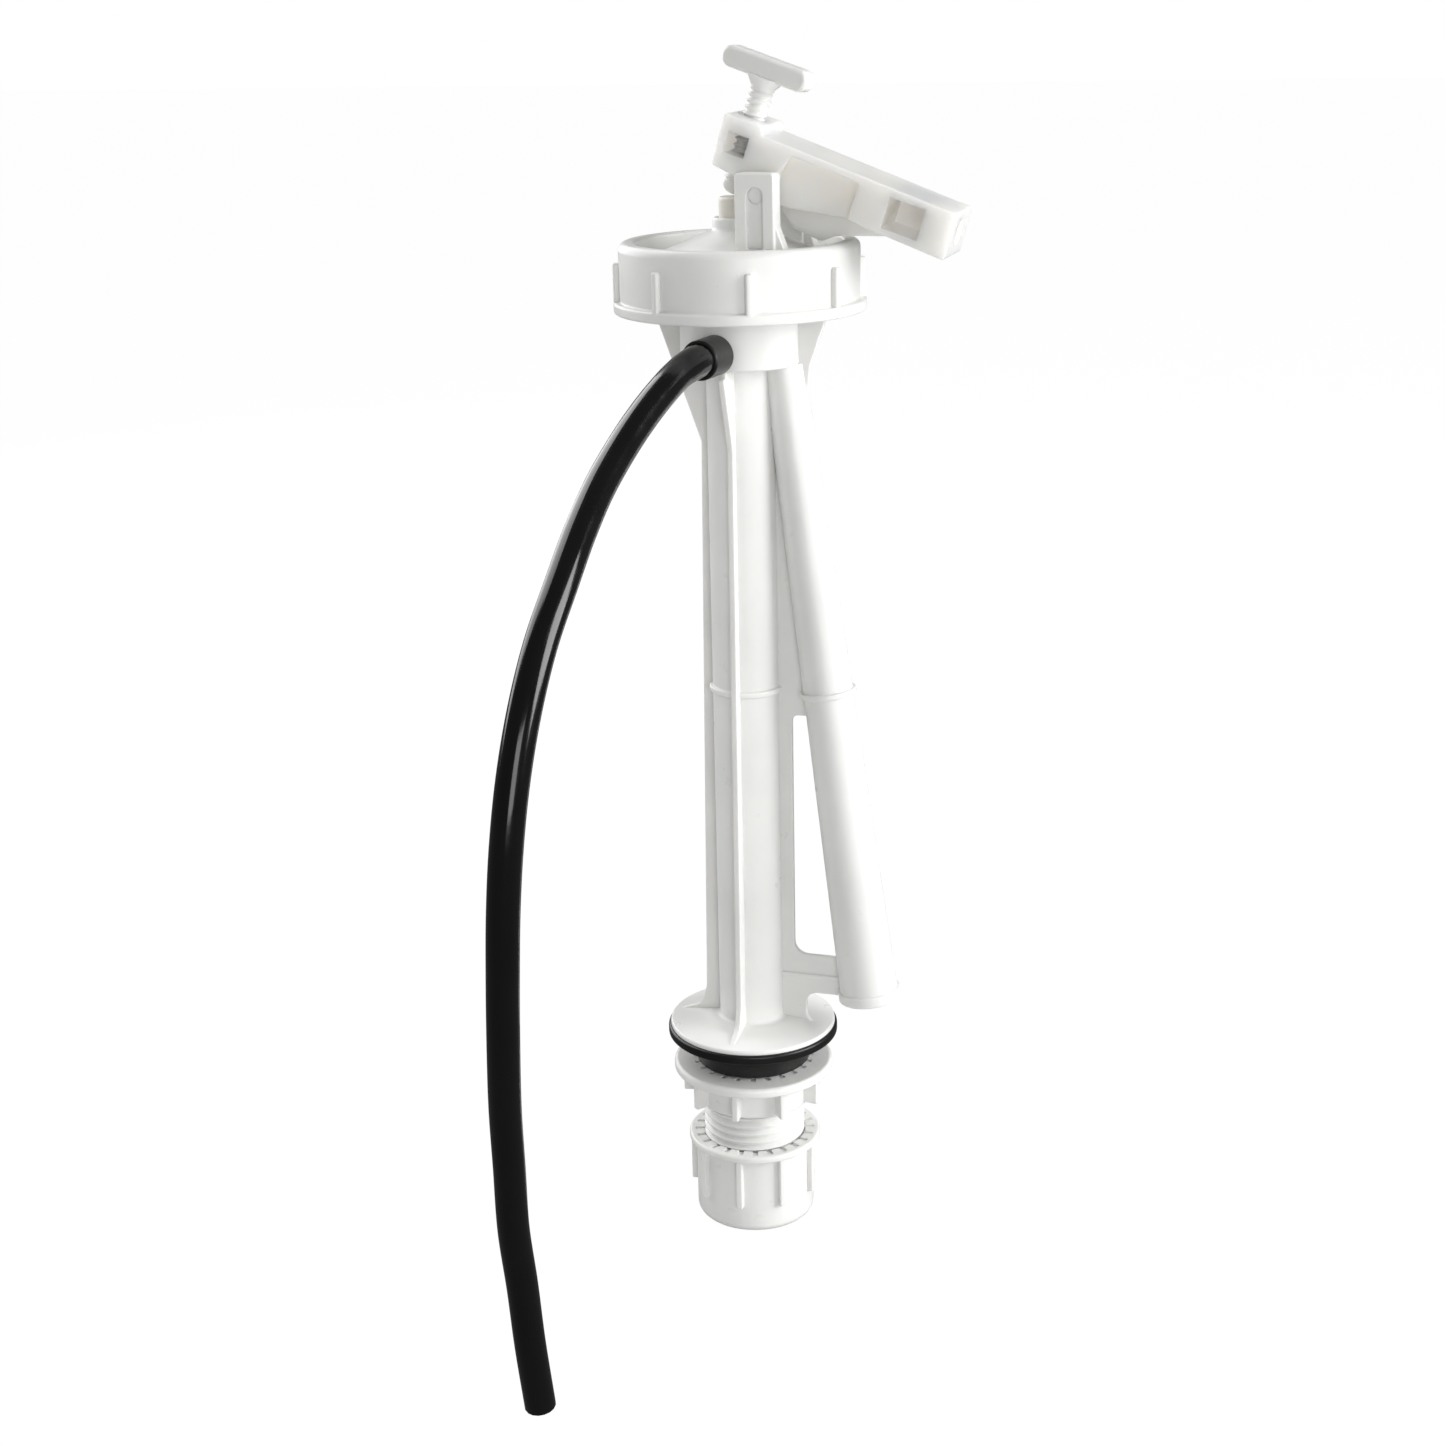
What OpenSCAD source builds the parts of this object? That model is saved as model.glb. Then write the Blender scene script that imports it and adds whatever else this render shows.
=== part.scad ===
// Anti-siphon inlet valve for a flushing cistern, worked by a float arm.
// Axis of the shank is Z. The origin is on that axis, at the underside of the rubber seal,
// which is the face that rests on the cistern floor. The float arm points along +X.

/* [Shank] */
// Outside diameter of the shank thread
shank_d = 22.2; // [20:0.1:27]
// Pitch of the shank thread
shank_pitch = 1.814; // [1.2:0.01:2.4]
// Diameter of the water way through the shank
shank_bore_d = 12; // [8:0.5:14]
// Length of the shank below the cistern floor
shank_len = 35.9; // [28:0.5:50]

/* [Standpipe] */
// Height of the underside of the valve head above the cistern floor
head_z = 146.3; // [115:0.1:185]
// Outside diameter of the standpipe
pipe_d = 14.2; // [12:0.1:17]
// Wall of the standpipe
pipe_wall = 1.9; // [1.2:0.1:2.6]
// Thickness of the fins and of the web
fin_t = 1.3; // [1:0.1:2.4]
// Radius over the fins at the top
fin_top_r = 8.6; // [8:0.1:10.5]
// Radius over the fins at the bottom
fin_low_r = 10.3; // [9.4:0.1:12]
// Diameter of the bottom flange
flange_d = 35.9; // [32:0.1:44]
// Thickness of the bottom flange at its edge
flange_t = 1; // [0.8:0.1:2.4]

/* [Discharge tube] */
// Distance of the outlet from the standpipe axis
outlet_x = 26.4; // [23:0.1:31]
// Height of the outlet above the cistern floor
outlet_z = 10.7; // [10:0.1:16]
// Outside diameter of the discharge tube at its top
drop_top_d = 8.2; // [7.4:0.1:10]
// Outside diameter of the discharge tube at its outlet
drop_low_d = 12.4; // [11:0.1:14]
// Wall of the discharge tube
drop_wall = 1.3; // [0.9:0.1:1.8]

/* [Valve head] */
// Outside diameter of the cup under the cap nut
cup_d = 24.2; // [23:0.1:28]
// Diameter over the thread that carries the cap nut
head_d = 43.9; // [41:0.1:50]
// Thickness of the diaphragm rim
diaphragm_t = 1.6; // [1.2:0.1:2.2]

/* [Cap nut] */
// Wall of the cap nut
cap_wall = 1.85; // [1.4:0.05:3]
// Height of the ribs and of the rim above the wall
cap_rib_h = 1.2; // [0.8:0.1:2]
// Number of ribs around the cap nut
cap_ribs = 8; // [6:1:12]
// Height of the lip over the cover
cap_lip_h = 3.9; // [2.5:0.1:5]

/* [Cover and plunger] */
// Diameter of the plunger
plunger_d = 7.8; // [6:0.1:8.2]
// Travel of the plunger from open to shut
plunger_travel = 2.2; // [1.6:0.1:2.4]
// Height of the cone from its foot to the boss
cone_h = 6; // [5:0.1:8]
// Width of a post along the arm
post_w = 7.9; // [6.5:0.1:9.5]
// Thickness of a post
post_t = 4.6; // [3.4:0.1:5]
// Diameter of the pivot pin
pin_d = 3; // [2.4:0.1:3.8]

/* [Arm] */
// Width of the arm between the posts
arm_w = 15; // [12:0.1:16]
// Angle of the arm below the level when the valve is open
arm_tilt = 18.5; // [12:0.5:20]
// Length of the arm from its pivot to its end
arm_len = 37.4; // [33:0.1:48]
// Diameter of the float rod hole
rod_hole_d = 5.2; // [4:0.1:6]
// Diameter of the adjusting screw
screw_d = 4.8; // [4:0.1:5.4]
// Length of the bar on the adjusting screw
bar_len = 18.8; // [14:0.2:26]
// Angle of that bar to the arm
bar_turn = 9; // [0:1:90]

/* [Nuts] */
// Diameter of the flange of the back nut
back_nut_d = 34.8; // [32:0.1:44]
// Distance of the back nut below the cistern floor
back_nut_drop = 6.2; // [5.6:0.1:10]
// Height of the back nut
back_nut_h = 9.4; // [9:0.1:13]
// Diameter of the flange of the coupling nut
coupling_d = 29; // [28:0.1:36]
// Height of the coupling nut
coupling_h = 19.3; // [15:0.1:22]
// Diameter of the hole for the supply pipe
supply_d = 13; // [10:0.1:16]
// Number of grip ribs on each nut
grip_ribs = 9; // [6:1:18]

/* [Refill tube] */
// Outside diameter of the refill tube
hose_d = 6; // [5:0.1:6.6]
// Outside diameter of the sleeve that grips the refill tube
sleeve_d = 7.8; // [7:0.1:8.6]
// Angle between the refill nozzle and a square line to the arm
nozzle_turn = 7; // [0:1:15]

/* [Hidden] */
$fn = 96;

// Clearances
run_gap = 0.06;
part_gap = 0.3;
seat_gap = 0.02;
eps = 0.02;

// Colours
white = "whitesmoke";
ivory = "ivory";
black = "#1c1c1e";
grey = "#9a9a9c";

// Seal, flange and shank
seal_t = 2.2;
seal_d = flange_d + 1;
seal_cone_h = 5.9;
shank_r = shank_d / 2;
shank_bore_r = shank_bore_d / 2;
neck_r = shank_r - 0.1;
flange_z = seal_t;
flange_top = flange_z + flange_t;
crown_h = 1.2;
crown_r = 9;
thread_top = -seal_cone_h - 0.7;
thread_depth = 0.6 * shank_pitch;
thread_turns = floor((shank_len + thread_top - 1) / shank_pitch);
strainer_rim_r = shank_bore_r + 1.4;
strainer_rim_t = 1.2;

// Standpipe and fins
pipe_r = pipe_d / 2;
pipe_bore_r = pipe_r - pipe_wall;
gusset_top_r = 18.4;
gusset_drop = 16;
foot_h = 6.2;
foot_r = flange_d / 2 - 1.2;
bead_z = head_z - 68;
bead_h = 1.2;
bead_out = 0.7;

// Valve head, from the cup upwards
cup_r = cup_d / 2;
cup_wall = 1.4;
cup_floor_t = 2.4;
cup_bore_r = cup_r - cup_wall;
tower_r = 6.9;
plate_z = head_z + 10.9;
plate_t = 2.5;
plate_top = plate_z + plate_t;
tower_top = plate_top - 0.6;
head_r = head_d / 2;
ring_wall = 2.5;
ring_top = plate_top + 2.9;
rim_top = ring_top + diaphragm_t;
air_hole_r = 1.1;
air_hole_pcd_r = 15.6;

// Discharge tube axis
drop_top_x = 9;
drop_top_z = head_z - 1.6;
drop_rise = drop_top_z - outlet_z;
drop_run = outlet_x - drop_top_x;
drop_len = sqrt(drop_rise * drop_rise + drop_run * drop_run);
drop_lean = atan2(drop_run, drop_rise);
drop_mouth_len = 12;
drop_mouth_r = drop_low_d / 2 - drop_wall - 0.2;
lip_h = 2.4;
lip_out = 0.45;
slot_x = 9.8;
slot_low_z = outlet_z + 8.6;
slot_top_z = bead_z - 5;
strut_low_z = outlet_z - 0.2;

// Cover
cover_r = head_r - 0.25;
cover_rim_t = 2.4;
cover_top = rim_top + cover_rim_t;
boss_r = plunger_d / 2 + 1.2;
boss_h = 2.4;
cone_foot_r = 20;
cone_t = 2.2;
cone_top = cover_top + cone_h;
boss_top = cone_top + boss_h;
plunger_top = boss_top + 3.9;

// Cap nut
cap_bore_r = head_r + run_gap;
cap_r = cap_bore_r + cap_wall;
cap_grip_r = cap_r + cap_rib_h;
cap_low_z = plate_z - 0.3;
cap_rim_t = 2.2;
cap_lip_z = cover_top + seat_gap * 5;
cap_top = cap_lip_z + cap_lip_h;
cap_open_r = cone_foot_r + 0.5;
cap_round = 2.4;
cap_rib_w = 1.6;
cap_phase = 21;

// Valve seat and moving disc
seat_spigot_r = pipe_bore_r - run_gap;
seat_bore_r = 3.6;
seat_lip_z = tower_top + 2.2;
disc_low_z = seat_lip_z + plunger_travel + 0.05;
disc_r = 5;
disc_t = 1.4;
plunger_r = plunger_d / 2;
stem_r = 2;
o_ring_r = 0.42;

// Arm and posts, with the arm drawn level and then tilted about its pivot
pivot_x = 6.9;
pivot_z = plunger_top + 1.1;
pin_r = pin_d / 2;
arm_half = arm_w / 2;
post_in = arm_half + 0.4;
post_out = post_in + post_t;
post_top = pivot_z + 4.2;
hub_r = 2.7;
channel_w = 3.4;
channel_deep = 1;
pin_half = post_out - channel_deep - 0.1;
channel_low = 3.4;
post_gusset_h = 8;
post_gusset_w = 3;
screw_u = -(pivot_x + 0.5) * cos(arm_tilt) - 0.6;
screw_r = screw_d / 2;
screw_ball_w = (plunger_top + part_gap + screw_r - pivot_z + screw_u * sin(arm_tilt)) / cos(arm_tilt);
block_top = 12;
block_w = 8;
arm_top_near = 10.4;
arm_top_far = 8.7;
arm_low_far = -0.3;
end_block_u = arm_len - 19.9;
end_window = [7.3, 6];
end_window_u = arm_len - 9.7;
end_window_w = 4.5;
end_window_deep = arm_w - 2.4;
screw_window = [4.4, 4];
screw_window_w = 7;
panel_deep = 1.8;
bar_w = 21.5;
bar_t = 4.2;
bar_y = 4.6;
flare_h = 2;

// Nuts on the shank
nut_bore_r = shank_r + run_gap;
grip_w = 1.5;
back_nut_top = -back_nut_drop;
back_flange_t = 2.1;
back_plain = 0.6;
back_hub_r = shank_r + 1.4;
back_rib_r = shank_r + 4.4;
coupling_low = -shank_len - 7.4;
coupling_top = coupling_low + coupling_h;
coupling_flange_t = 1.6;
coupling_hub_r = shank_r + 1.85;
coupling_rib_r = shank_r + 3.1;
coupling_floor_t = 2.4;
coupling_round = 1.8;
coupling_plain = 6.4;
ring_t = 0.8;
washer_top = -shank_len - 0.05;
washer_h = coupling_low + coupling_floor_t + ring_t + 0.1;

// Refill tube
hose_z = head_z + 3.4;
hose_r = hose_d / 2;
sleeve_r = sleeve_d / 2;
spigot_r = 2;
spigot_bore_r = 1.25;
sleeve_near = cup_r + 0.1;
sleeve_len = 7.8;
sleeve_far = sleeve_near + sleeve_len;
nozzle_way = [-sin(nozzle_turn), -cos(nozzle_turn), 0];
hose_sides = 10;

// Route of the refill tube: out of the sleeve, over in a wide bend and down
hose_route = [
    [-3, -24.5, 149.4], [-3.8, -29, 148.4], [-4.7, -34, 146.6], [-6, -41, 143.5], [-7.2, -50, 139.2],
    [-8, -61, 133.7], [-8, -72, 127.7], [-8, -82, 120.7], [-9, -90, 112.2], [-10, -96, 102.2],
    [-11, -100, 91.2], [-12, -102, 79.7], [-13, -102.5, 67.7], [-14, -102, 54.7], [-15, -101, 41.7],
    [-16, -99.5, 28.7], [-16.5, -98, 15.7], [-17, -96.5, 2.7], [-16.5, -95, -10.3], [-16, -94, -23.3],
    [-15, -93, -37.3]
];

// Helpers

// Ring between two radii and two heights
module tube(r_out, r_in, z_low, z_high) {
    translate([0, 0, z_low])
        difference() {
            cylinder(r = r_out, h = z_high - z_low);
            translate([0, 0, -eps])
                cylinder(r = r_in, h = z_high - z_low + 2 * eps);
        }
}

// Profile in the XZ plane made into an upright plate that is centred on Y
module plate(points, thick) {
    translate([0, thick / 2, 0])
        rotate([90, 0, 0])
            linear_extrude(height = thick)
                polygon(points);
}

// Box between two corners
module block(low, high) {
    translate(low)
        cube(high - low);
}

// Ribs around a nut, standing out of its wall
module ribs_around(count, r_in, r_out, width, z_low, z_high, phase) {
    for (i = [0 : count - 1])
        rotate([0, 0, phase + i * 360 / count])
            block([r_in, -width / 2, z_low], [r_out, width / 2, z_high]);
}

// Places its children along the discharge tube, with Z along its axis and the outlet at zero
module along_drop() {
    translate([outlet_x, 0, outlet_z])
        rotate([0, -drop_lean, 0])
            children();
}

// Places its children in the arm's own frame, level, with the pivot at the origin
module in_arm() {
    translate([pivot_x, 0, pivot_z])
        rotate([0, arm_tilt, 0])
            children();
}

// Radius over a fin at a height below the gusset
function fin_r(z) = fin_low_r + (fin_top_r - fin_low_r) * (z - flange_top) / (head_z - gusset_drop - flange_top);

// Radius over a gusset at a height, from the top of the fin up to the head plate
function gusset_r(z) =
    fin_top_r + (gusset_top_r - fin_top_r) * (z - head_z + gusset_drop) / (plate_z - head_z + gusset_drop);

// Points on an arc, as [x, z]
function arc(cx, cz, r, from, to, steps) =
    [for (i = [0 : steps]) [cx + r * cos(from + (to - from) * i / steps), cz + r * sin(from + (to - from) * i / steps)]];

// Standpipe, discharge tube and flange: one moulding

module fin_plate() {
    plate(concat(
        [[pipe_bore_r + 0.5, head_z], [gusset_r(head_z), head_z], [fin_top_r, head_z - gusset_drop]],
        [[fin_r(flange_top + foot_h), flange_top + foot_h]],
        arc(foot_r, flange_top + foot_h, foot_r - fin_r(flange_top + foot_h), 180, 270, 8),
        [[pipe_bore_r + 0.5, flange_top - 1]]), fin_t);
}

module drop_outside() {
    along_drop() {
        cylinder(r1 = drop_low_d / 2, r2 = drop_top_d / 2, h = drop_len + 3);
        cylinder(r = drop_low_d / 2 + lip_out, h = lip_h);
    }
}

// Water way of the discharge tube: a straight mouth, then a taper up to the cup
module drop_inside() {
    translate([0, 0, -1])
        cylinder(r = drop_mouth_r, h = drop_mouth_len + 1);
    translate([0, 0, drop_mouth_len - eps])
        cylinder(r1 = drop_low_d / 2 - drop_wall - 0.3, r2 = drop_top_d / 2 - drop_wall, h = drop_len - drop_mouth_len);
    cylinder(r = drop_top_d / 2 - drop_wall, h = drop_len + 8);
}

module web_plate() {
    difference() {
        plate([
            [pipe_bore_r + 0.5, strut_low_z], [outlet_x - 2, strut_low_z], [outlet_x, slot_low_z],
            [drop_top_x + 2, drop_top_z], [pipe_bore_r + 0.5, drop_top_z]
        ], fin_t);
        plate(concat(
            [[slot_x, slot_low_z], [outlet_x, slot_low_z], [outlet_x - 3, slot_top_z]],
            arc(slot_x + 1, slot_top_z - 1, 1, 90, 180, 4)), 3 * fin_t);
    }
}

// Gusset between the discharge tube and the head, below the cup
module outlet_gusset() {
    plate([
        [drop_top_x, head_z], [gusset_r(head_z), head_z],
        [drop_top_x + drop_top_d / 2 + 0.8, head_z - 5], [drop_top_x, head_z - 5]
    ], fin_t);
}

module strut_foot() {
    plate(concat(
        [[pipe_bore_r + 0.5, strut_low_z + 1], [slot_x + 5, strut_low_z + 1], [slot_x + 5, strut_low_z]],
        arc(slot_x + 5, strut_low_z - 2.4, 2.4, 90, 180, 5),
        arc(slot_x + 5.2, flange_top + 2.6, 2.6, 180, 270, 5),
        [[pipe_bore_r + 0.5, flange_top - 1]]), fin_t);
    block([pipe_r - 1, -fin_t / 2 - 0.7, outlet_z + 3.4], [outlet_x - 4, fin_t / 2 + 0.7, outlet_z + 4.3]);
}

module valve_body() {
    color(white)
        difference() {
            union() {
                translate([0, 0, flange_z])
                    cylinder(d = flange_d, h = flange_t);
                translate([0, 0, flange_top - eps])
                    cylinder(r1 = flange_d / 2, r2 = crown_r, h = crown_h);
                cylinder(r = pipe_r, h = head_z);
                translate([0, 0, bead_z])
                    cylinder(r = pipe_r + bead_out, h = bead_h);
                along_drop()
                    translate([0, 0, (bead_z - outlet_z) / cos(drop_lean)])
                        cylinder(r = (drop_top_d + drop_low_d) / 4 + bead_out, h = bead_h);
                for (turn = [90, 180, 270])
                    rotate([0, 0, turn])
                        fin_plate();
                drop_outside();
                web_plate();
                outlet_gusset();
                strut_foot();
            }
            translate([0, 0, -eps])
                cylinder(r = pipe_bore_r, h = head_z + 1);
            translate([0, 0, -1])
                cylinder(d = flange_d, h = flange_z + 1);
            along_drop()
                difference() {
                    drop_inside();
                    along_drop_inverse()
                        cylinder(r = pipe_r, h = head_z);
                }
            translate([0, 0, head_z])
                cylinder(r = 2 * cup_r, h = 20);
            sleeve_clearance();
        }
}

// Undoes along_drop(), for a shape that stays upright inside it
module along_drop_inverse() {
    rotate([0, drop_lean, 0])
        translate([-outlet_x, 0, -outlet_z])
            children();
}

// Room for the sleeve of the refill tube below the head
module sleeve_clearance() {
    along_hose(cup_r - 1, cup_r + sleeve_len + 3, sleeve_r + part_gap);
}

// Valve head: the cup, the plate under the cap nut and the threaded ring

module head_gusset() {
    plate([
        [cup_r - 0.7, head_z], [gusset_r(head_z), head_z], [gusset_top_r, plate_z],
        [gusset_top_r, plate_z + 0.5], [cup_r - 0.7, plate_z + 0.5]
    ], fin_t);
}

module valve_head() {
    color(white)
        difference() {
            union() {
                rotate_extrude()
                    polygon([
                        [pipe_bore_r, head_z], [cup_r, head_z], [cup_r, plate_z], [head_r, plate_z],
                        [head_r, ring_top], [head_r - ring_wall, ring_top], [head_r - ring_wall, plate_top],
                        [cup_bore_r, plate_top], [cup_bore_r, head_z + cup_floor_t],
                        [tower_r, head_z + cup_floor_t], [tower_r, tower_top], [pipe_bore_r, tower_top]
                    ]);
                for (turn = [0, 90, 180])
                    rotate([0, 0, turn])
                        head_gusset();
            }
            difference() {
                along_drop()
                    cylinder(r = drop_top_d / 2 - drop_wall, h = drop_len + cup_floor_t + 3);
                cylinder(r = tower_r, h = tower_top);
                translate([0, 0, head_z])
                    tube(3 * cup_r, cup_bore_r, -1, 20);
            }
            along_hose(0, cup_r + 4, spigot_r + seat_gap);
            for (i = [0 : 7])
                rotate([0, 0, 22.5 + i * 45])
                    translate([air_hole_pcd_r, 0, plate_z - 1])
                        cylinder(r = air_hole_r, h = plate_t + 2);
        }
}

module threaded_shank() {
    color(white)
        difference() {
            union() {
                translate([0, 0, -shank_len])
                    cylinder(r = shank_r, h = shank_len + thread_top);
                translate([0, 0, thread_top - eps])
                    cylinder(r = neck_r, h = flange_z - thread_top + eps);
            }
            translate([0, 0, -shank_len - 1])
                cylinder(r = shank_bore_r, h = shank_len + flange_z + 2);
            translate([0, 0, -shank_len - 1])
                cylinder(r = strainer_rim_r + seat_gap, h = strainer_rim_t + 1 + seat_gap);
            for (i = [0 : thread_turns - 1])
                translate([0, 0, thread_top - 1 - (i + 0.5) * shank_pitch])
                    thread_groove();
        }
}

// Ring-shaped groove between two thread crests
module thread_groove() {
    rotate_extrude()
        polygon([
            [shank_r + 1, -0.62 * shank_pitch], [shank_r - thread_depth, -0.1 * shank_pitch],
            [shank_r - thread_depth, 0.1 * shank_pitch], [shank_r + 1, 0.62 * shank_pitch]
        ]);
}

module inlet_strainer() {
    color(grey)
        translate([0, 0, -shank_len + seat_gap])
            difference() {
                union() {
                    cylinder(r = strainer_rim_r, h = strainer_rim_t);
                    cylinder(r1 = shank_bore_r - 0.4, r2 = shank_bore_r - 1.6, h = 15);
                }
                translate([0, 0, -1])
                    cylinder(r1 = shank_bore_r - 1.3, r2 = shank_bore_r - 2.6, h = 15);
                for (i = [0 : 5])
                    rotate([0, 0, i * 60])
                        block([1.5, -0.8, 2.4], [shank_bore_r + 1, 0.8, 12.5]);
            }
}

module flange_seal() {
    color(black)
        difference() {
            union() {
                cylinder(d = seal_d, h = seal_t);
                translate([0, 0, -seal_cone_h])
                    cylinder(r1 = shank_r + 1.3, r2 = shank_r + 1.9, h = seal_cone_h + eps);
            }
            translate([0, 0, -seal_cone_h - 1])
                cylinder(r = neck_r + seat_gap, h = seal_cone_h + seal_t + 2);
        }
}

module back_nut() {
    color(white)
        difference() {
            union() {
                translate([0, 0, back_nut_top - back_flange_t])
                    cylinder(d = back_nut_d, h = back_flange_t);
                translate([0, 0, back_nut_top - back_nut_h])
                    cylinder(r = back_hub_r, h = back_nut_h);
                ribs_around(grip_ribs, back_hub_r - 0.5, back_rib_r, grip_w,
                    back_nut_top - back_nut_h + back_plain, back_nut_top - 1, 31);
            }
            translate([0, 0, back_nut_top - back_nut_h - 1])
                cylinder(r = nut_bore_r, h = back_nut_h + 2);
        }
}

module coupling_nut() {
    color(white)
        difference() {
            union() {
                rotate_extrude()
                    polygon(concat(
                        [[0, coupling_low]],
                        arc(coupling_hub_r - coupling_round, coupling_low + coupling_round,
                            coupling_round, 270, 360, 8),
                        [[coupling_hub_r, coupling_top - coupling_flange_t],
                         [coupling_d / 2, coupling_top - coupling_flange_t],
                         [coupling_d / 2, coupling_top], [0, coupling_top]]));
                ribs_around(grip_ribs, coupling_hub_r - 0.5, coupling_rib_r, grip_w,
                    coupling_low + coupling_plain, coupling_top - 1, 32);
            }
            translate([0, 0, coupling_low + coupling_floor_t])
                cylinder(r = nut_bore_r, h = coupling_h);
            translate([0, 0, coupling_low - 1])
                cylinder(d = supply_d, h = coupling_h);
        }
}

module friction_ring() {
    color(grey)
        tube(shank_r - 0.1, supply_d / 2 + 0.3, coupling_low + coupling_floor_t + seat_gap,
            coupling_low + coupling_floor_t + ring_t);
}

module cone_washer() {
    color(black)
        difference() {
            translate([0, 0, washer_h])
                cylinder(r1 = shank_r - 1.2, r2 = shank_r - 0.4, h = washer_top - washer_h);
            translate([0, 0, washer_h - 1])
                cylinder(r = supply_d / 2 + 0.3, h = washer_top - washer_h + 2);
        }
}

// Pieces inside the head

module valve_seat() {
    color(ivory)
        difference() {
            union() {
                translate([0, 0, tower_top - 5])
                    cylinder(r = seat_spigot_r, h = 5 + eps);
                translate([0, 0, tower_top])
                    cylinder(r = tower_r - 0.2, h = 1.2);
                translate([0, 0, tower_top])
                    cylinder(r1 = seat_bore_r + 1.4, r2 = seat_bore_r + 0.5, h = seat_lip_z - tower_top);
            }
            translate([0, 0, tower_top - 6])
                cylinder(r = seat_bore_r, h = 10);
            translate([0, 0, tower_top - 2.6])
                tube(seat_spigot_r + 1, seat_spigot_r - 2 * o_ring_r - seat_gap, -0.7, 0.7);
        }
}

module seat_o_ring() {
    color(black)
        translate([0, 0, tower_top - 2.6])
            rotate_extrude()
                translate([seat_spigot_r - o_ring_r, 0])
                    circle(r = o_ring_r, $fn = 32);
}

module air_flap_ring() {
    color(black)
        tube(head_r - ring_wall - part_gap, cup_bore_r + part_gap, plate_top + seat_gap, plate_top + 0.8);
}

module diaphragm() {
    color(black)
        rotate_extrude()
            polygon([
                [head_r - 0.2, ring_top + seat_gap], [head_r - 0.2, rim_top - seat_gap],
                [head_r - ring_wall, rim_top - seat_gap], [head_r - ring_wall - 1, ring_top + 0.9],
                [12.6, ring_top + 0.9], [11.2, ring_top + 2], [9.6, ring_top + 2], [8.4, ring_top + 0.9],
                [disc_r + part_gap, ring_top + 0.9], [disc_r + part_gap, ring_top + 0.1],
                [8.8, ring_top + 0.1], [10, ring_top + 1.2], [10.8, ring_top + 1.2], [12.2, ring_top + 0.1],
                [head_r - ring_wall, ring_top + 0.1], [head_r - ring_wall, ring_top + seat_gap]
            ]);
}

module diaphragm_disc() {
    color(ivory)
        translate([0, 0, disc_low_z])
            difference() {
                cylinder(r = disc_r, h = disc_t);
                translate([0, 0, -1])
                    cylinder(r = 0.5, h = disc_t + 2);
            }
}

module head_cover() {
    color(white)
        difference() {
            union() {
                rotate_extrude()
                    polygon([
                        [0, rim_top], [cover_r, rim_top], [cover_r, cover_top], [cone_foot_r, cover_top],
                        [boss_r, cone_top], [boss_r, boss_top], [0, boss_top]
                    ]);
                for (side = [-1, 1])
                    post(side);
            }
            rotate_extrude()
                polygon([
                    [0, rim_top - 1], [cover_r - 2.6, rim_top - 1], [cover_r - 2.6, rim_top],
                    [boss_r + 1, cone_top - cone_t], [0, cone_top - cone_t]
                ]);
            cylinder(r = plunger_r + run_gap, h = boss_top + 1);
            translate([pivot_x, 30, pivot_z])
                rotate([90, 0, 0])
                    cylinder(r = pin_r + seat_gap, h = 60);
        }
}

// Post that carries the pivot pin, with an arched recess on its outer face
module post(side) {
    mid_y = side * (post_in + post_t / 2);
    out_y = side * post_out;
    difference() {
        union() {
            block([pivot_x - post_w / 2, mid_y - post_t / 2, cover_top - 0.6],
                [pivot_x + post_w / 2, mid_y + post_t / 2, post_top]);
            translate([pivot_x + post_w / 2, mid_y, cover_top])
                plate([[-1, -0.6], [post_gusset_w, -0.6], [post_gusset_w, 0], [0, post_gusset_h], [-1, post_gusset_h]],
                    post_t - 1.2);
        }
        block([pivot_x - channel_w / 2, out_y - channel_deep, cover_top + channel_low],
            [pivot_x + channel_w / 2, out_y + channel_deep, pivot_z]);
        translate([pivot_x, out_y + channel_deep, pivot_z])
            rotate([90, 0, 0])
                cylinder(d = channel_w, h = 2 * channel_deep);
    }
}

module plunger() {
    color(ivory)
        difference() {
            union() {
                translate([0, 0, disc_low_z + disc_t])
                    cylinder(r = stem_r, h = plunger_top - disc_low_z - disc_t);
                translate([0, 0, cone_top - cone_t])
                    cylinder(r = plunger_r, h = plunger_top - cone_top + cone_t);
            }
            translate([0, 0, cone_top])
                tube(plunger_r + 1, plunger_r - 2 * o_ring_r, -0.6, 0.6);
        }
}

module plunger_o_ring() {
    color(black)
        translate([0, 0, cone_top])
            rotate_extrude()
                translate([plunger_r - o_ring_r, 0])
                    circle(r = o_ring_r - seat_gap, $fn = 32);
}

module cap_nut() {
    color(white)
        difference() {
            union() {
                rotate_extrude()
                    polygon(concat(
                        [[cap_bore_r, cap_low_z], [cap_grip_r, cap_low_z], [cap_grip_r, cap_low_z + cap_rim_t],
                         [cap_r, cap_low_z + cap_rim_t]],
                        arc(cap_r - cap_round, cap_top - cap_round, cap_round, 0, 90, 8),
                        [[cap_open_r, cap_top], [cap_open_r, cap_lip_z], [cap_bore_r, cap_lip_z]]));
                ribs_around(cap_ribs, cap_r - 0.6, cap_grip_r, cap_rib_w,
                    cap_low_z + 1, cap_lip_z, cap_phase);
            }
            tube(cap_bore_r, 1, cap_low_z - 1, cap_lip_z);
        }
}

// Arm, pivot and adjusting screw

// Line along the top of the arm, in the arm's frame
function arm_top(u) = arm_top_near + (arm_top_far - arm_top_near) * (u + 3) / (arm_len + 3);

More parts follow.
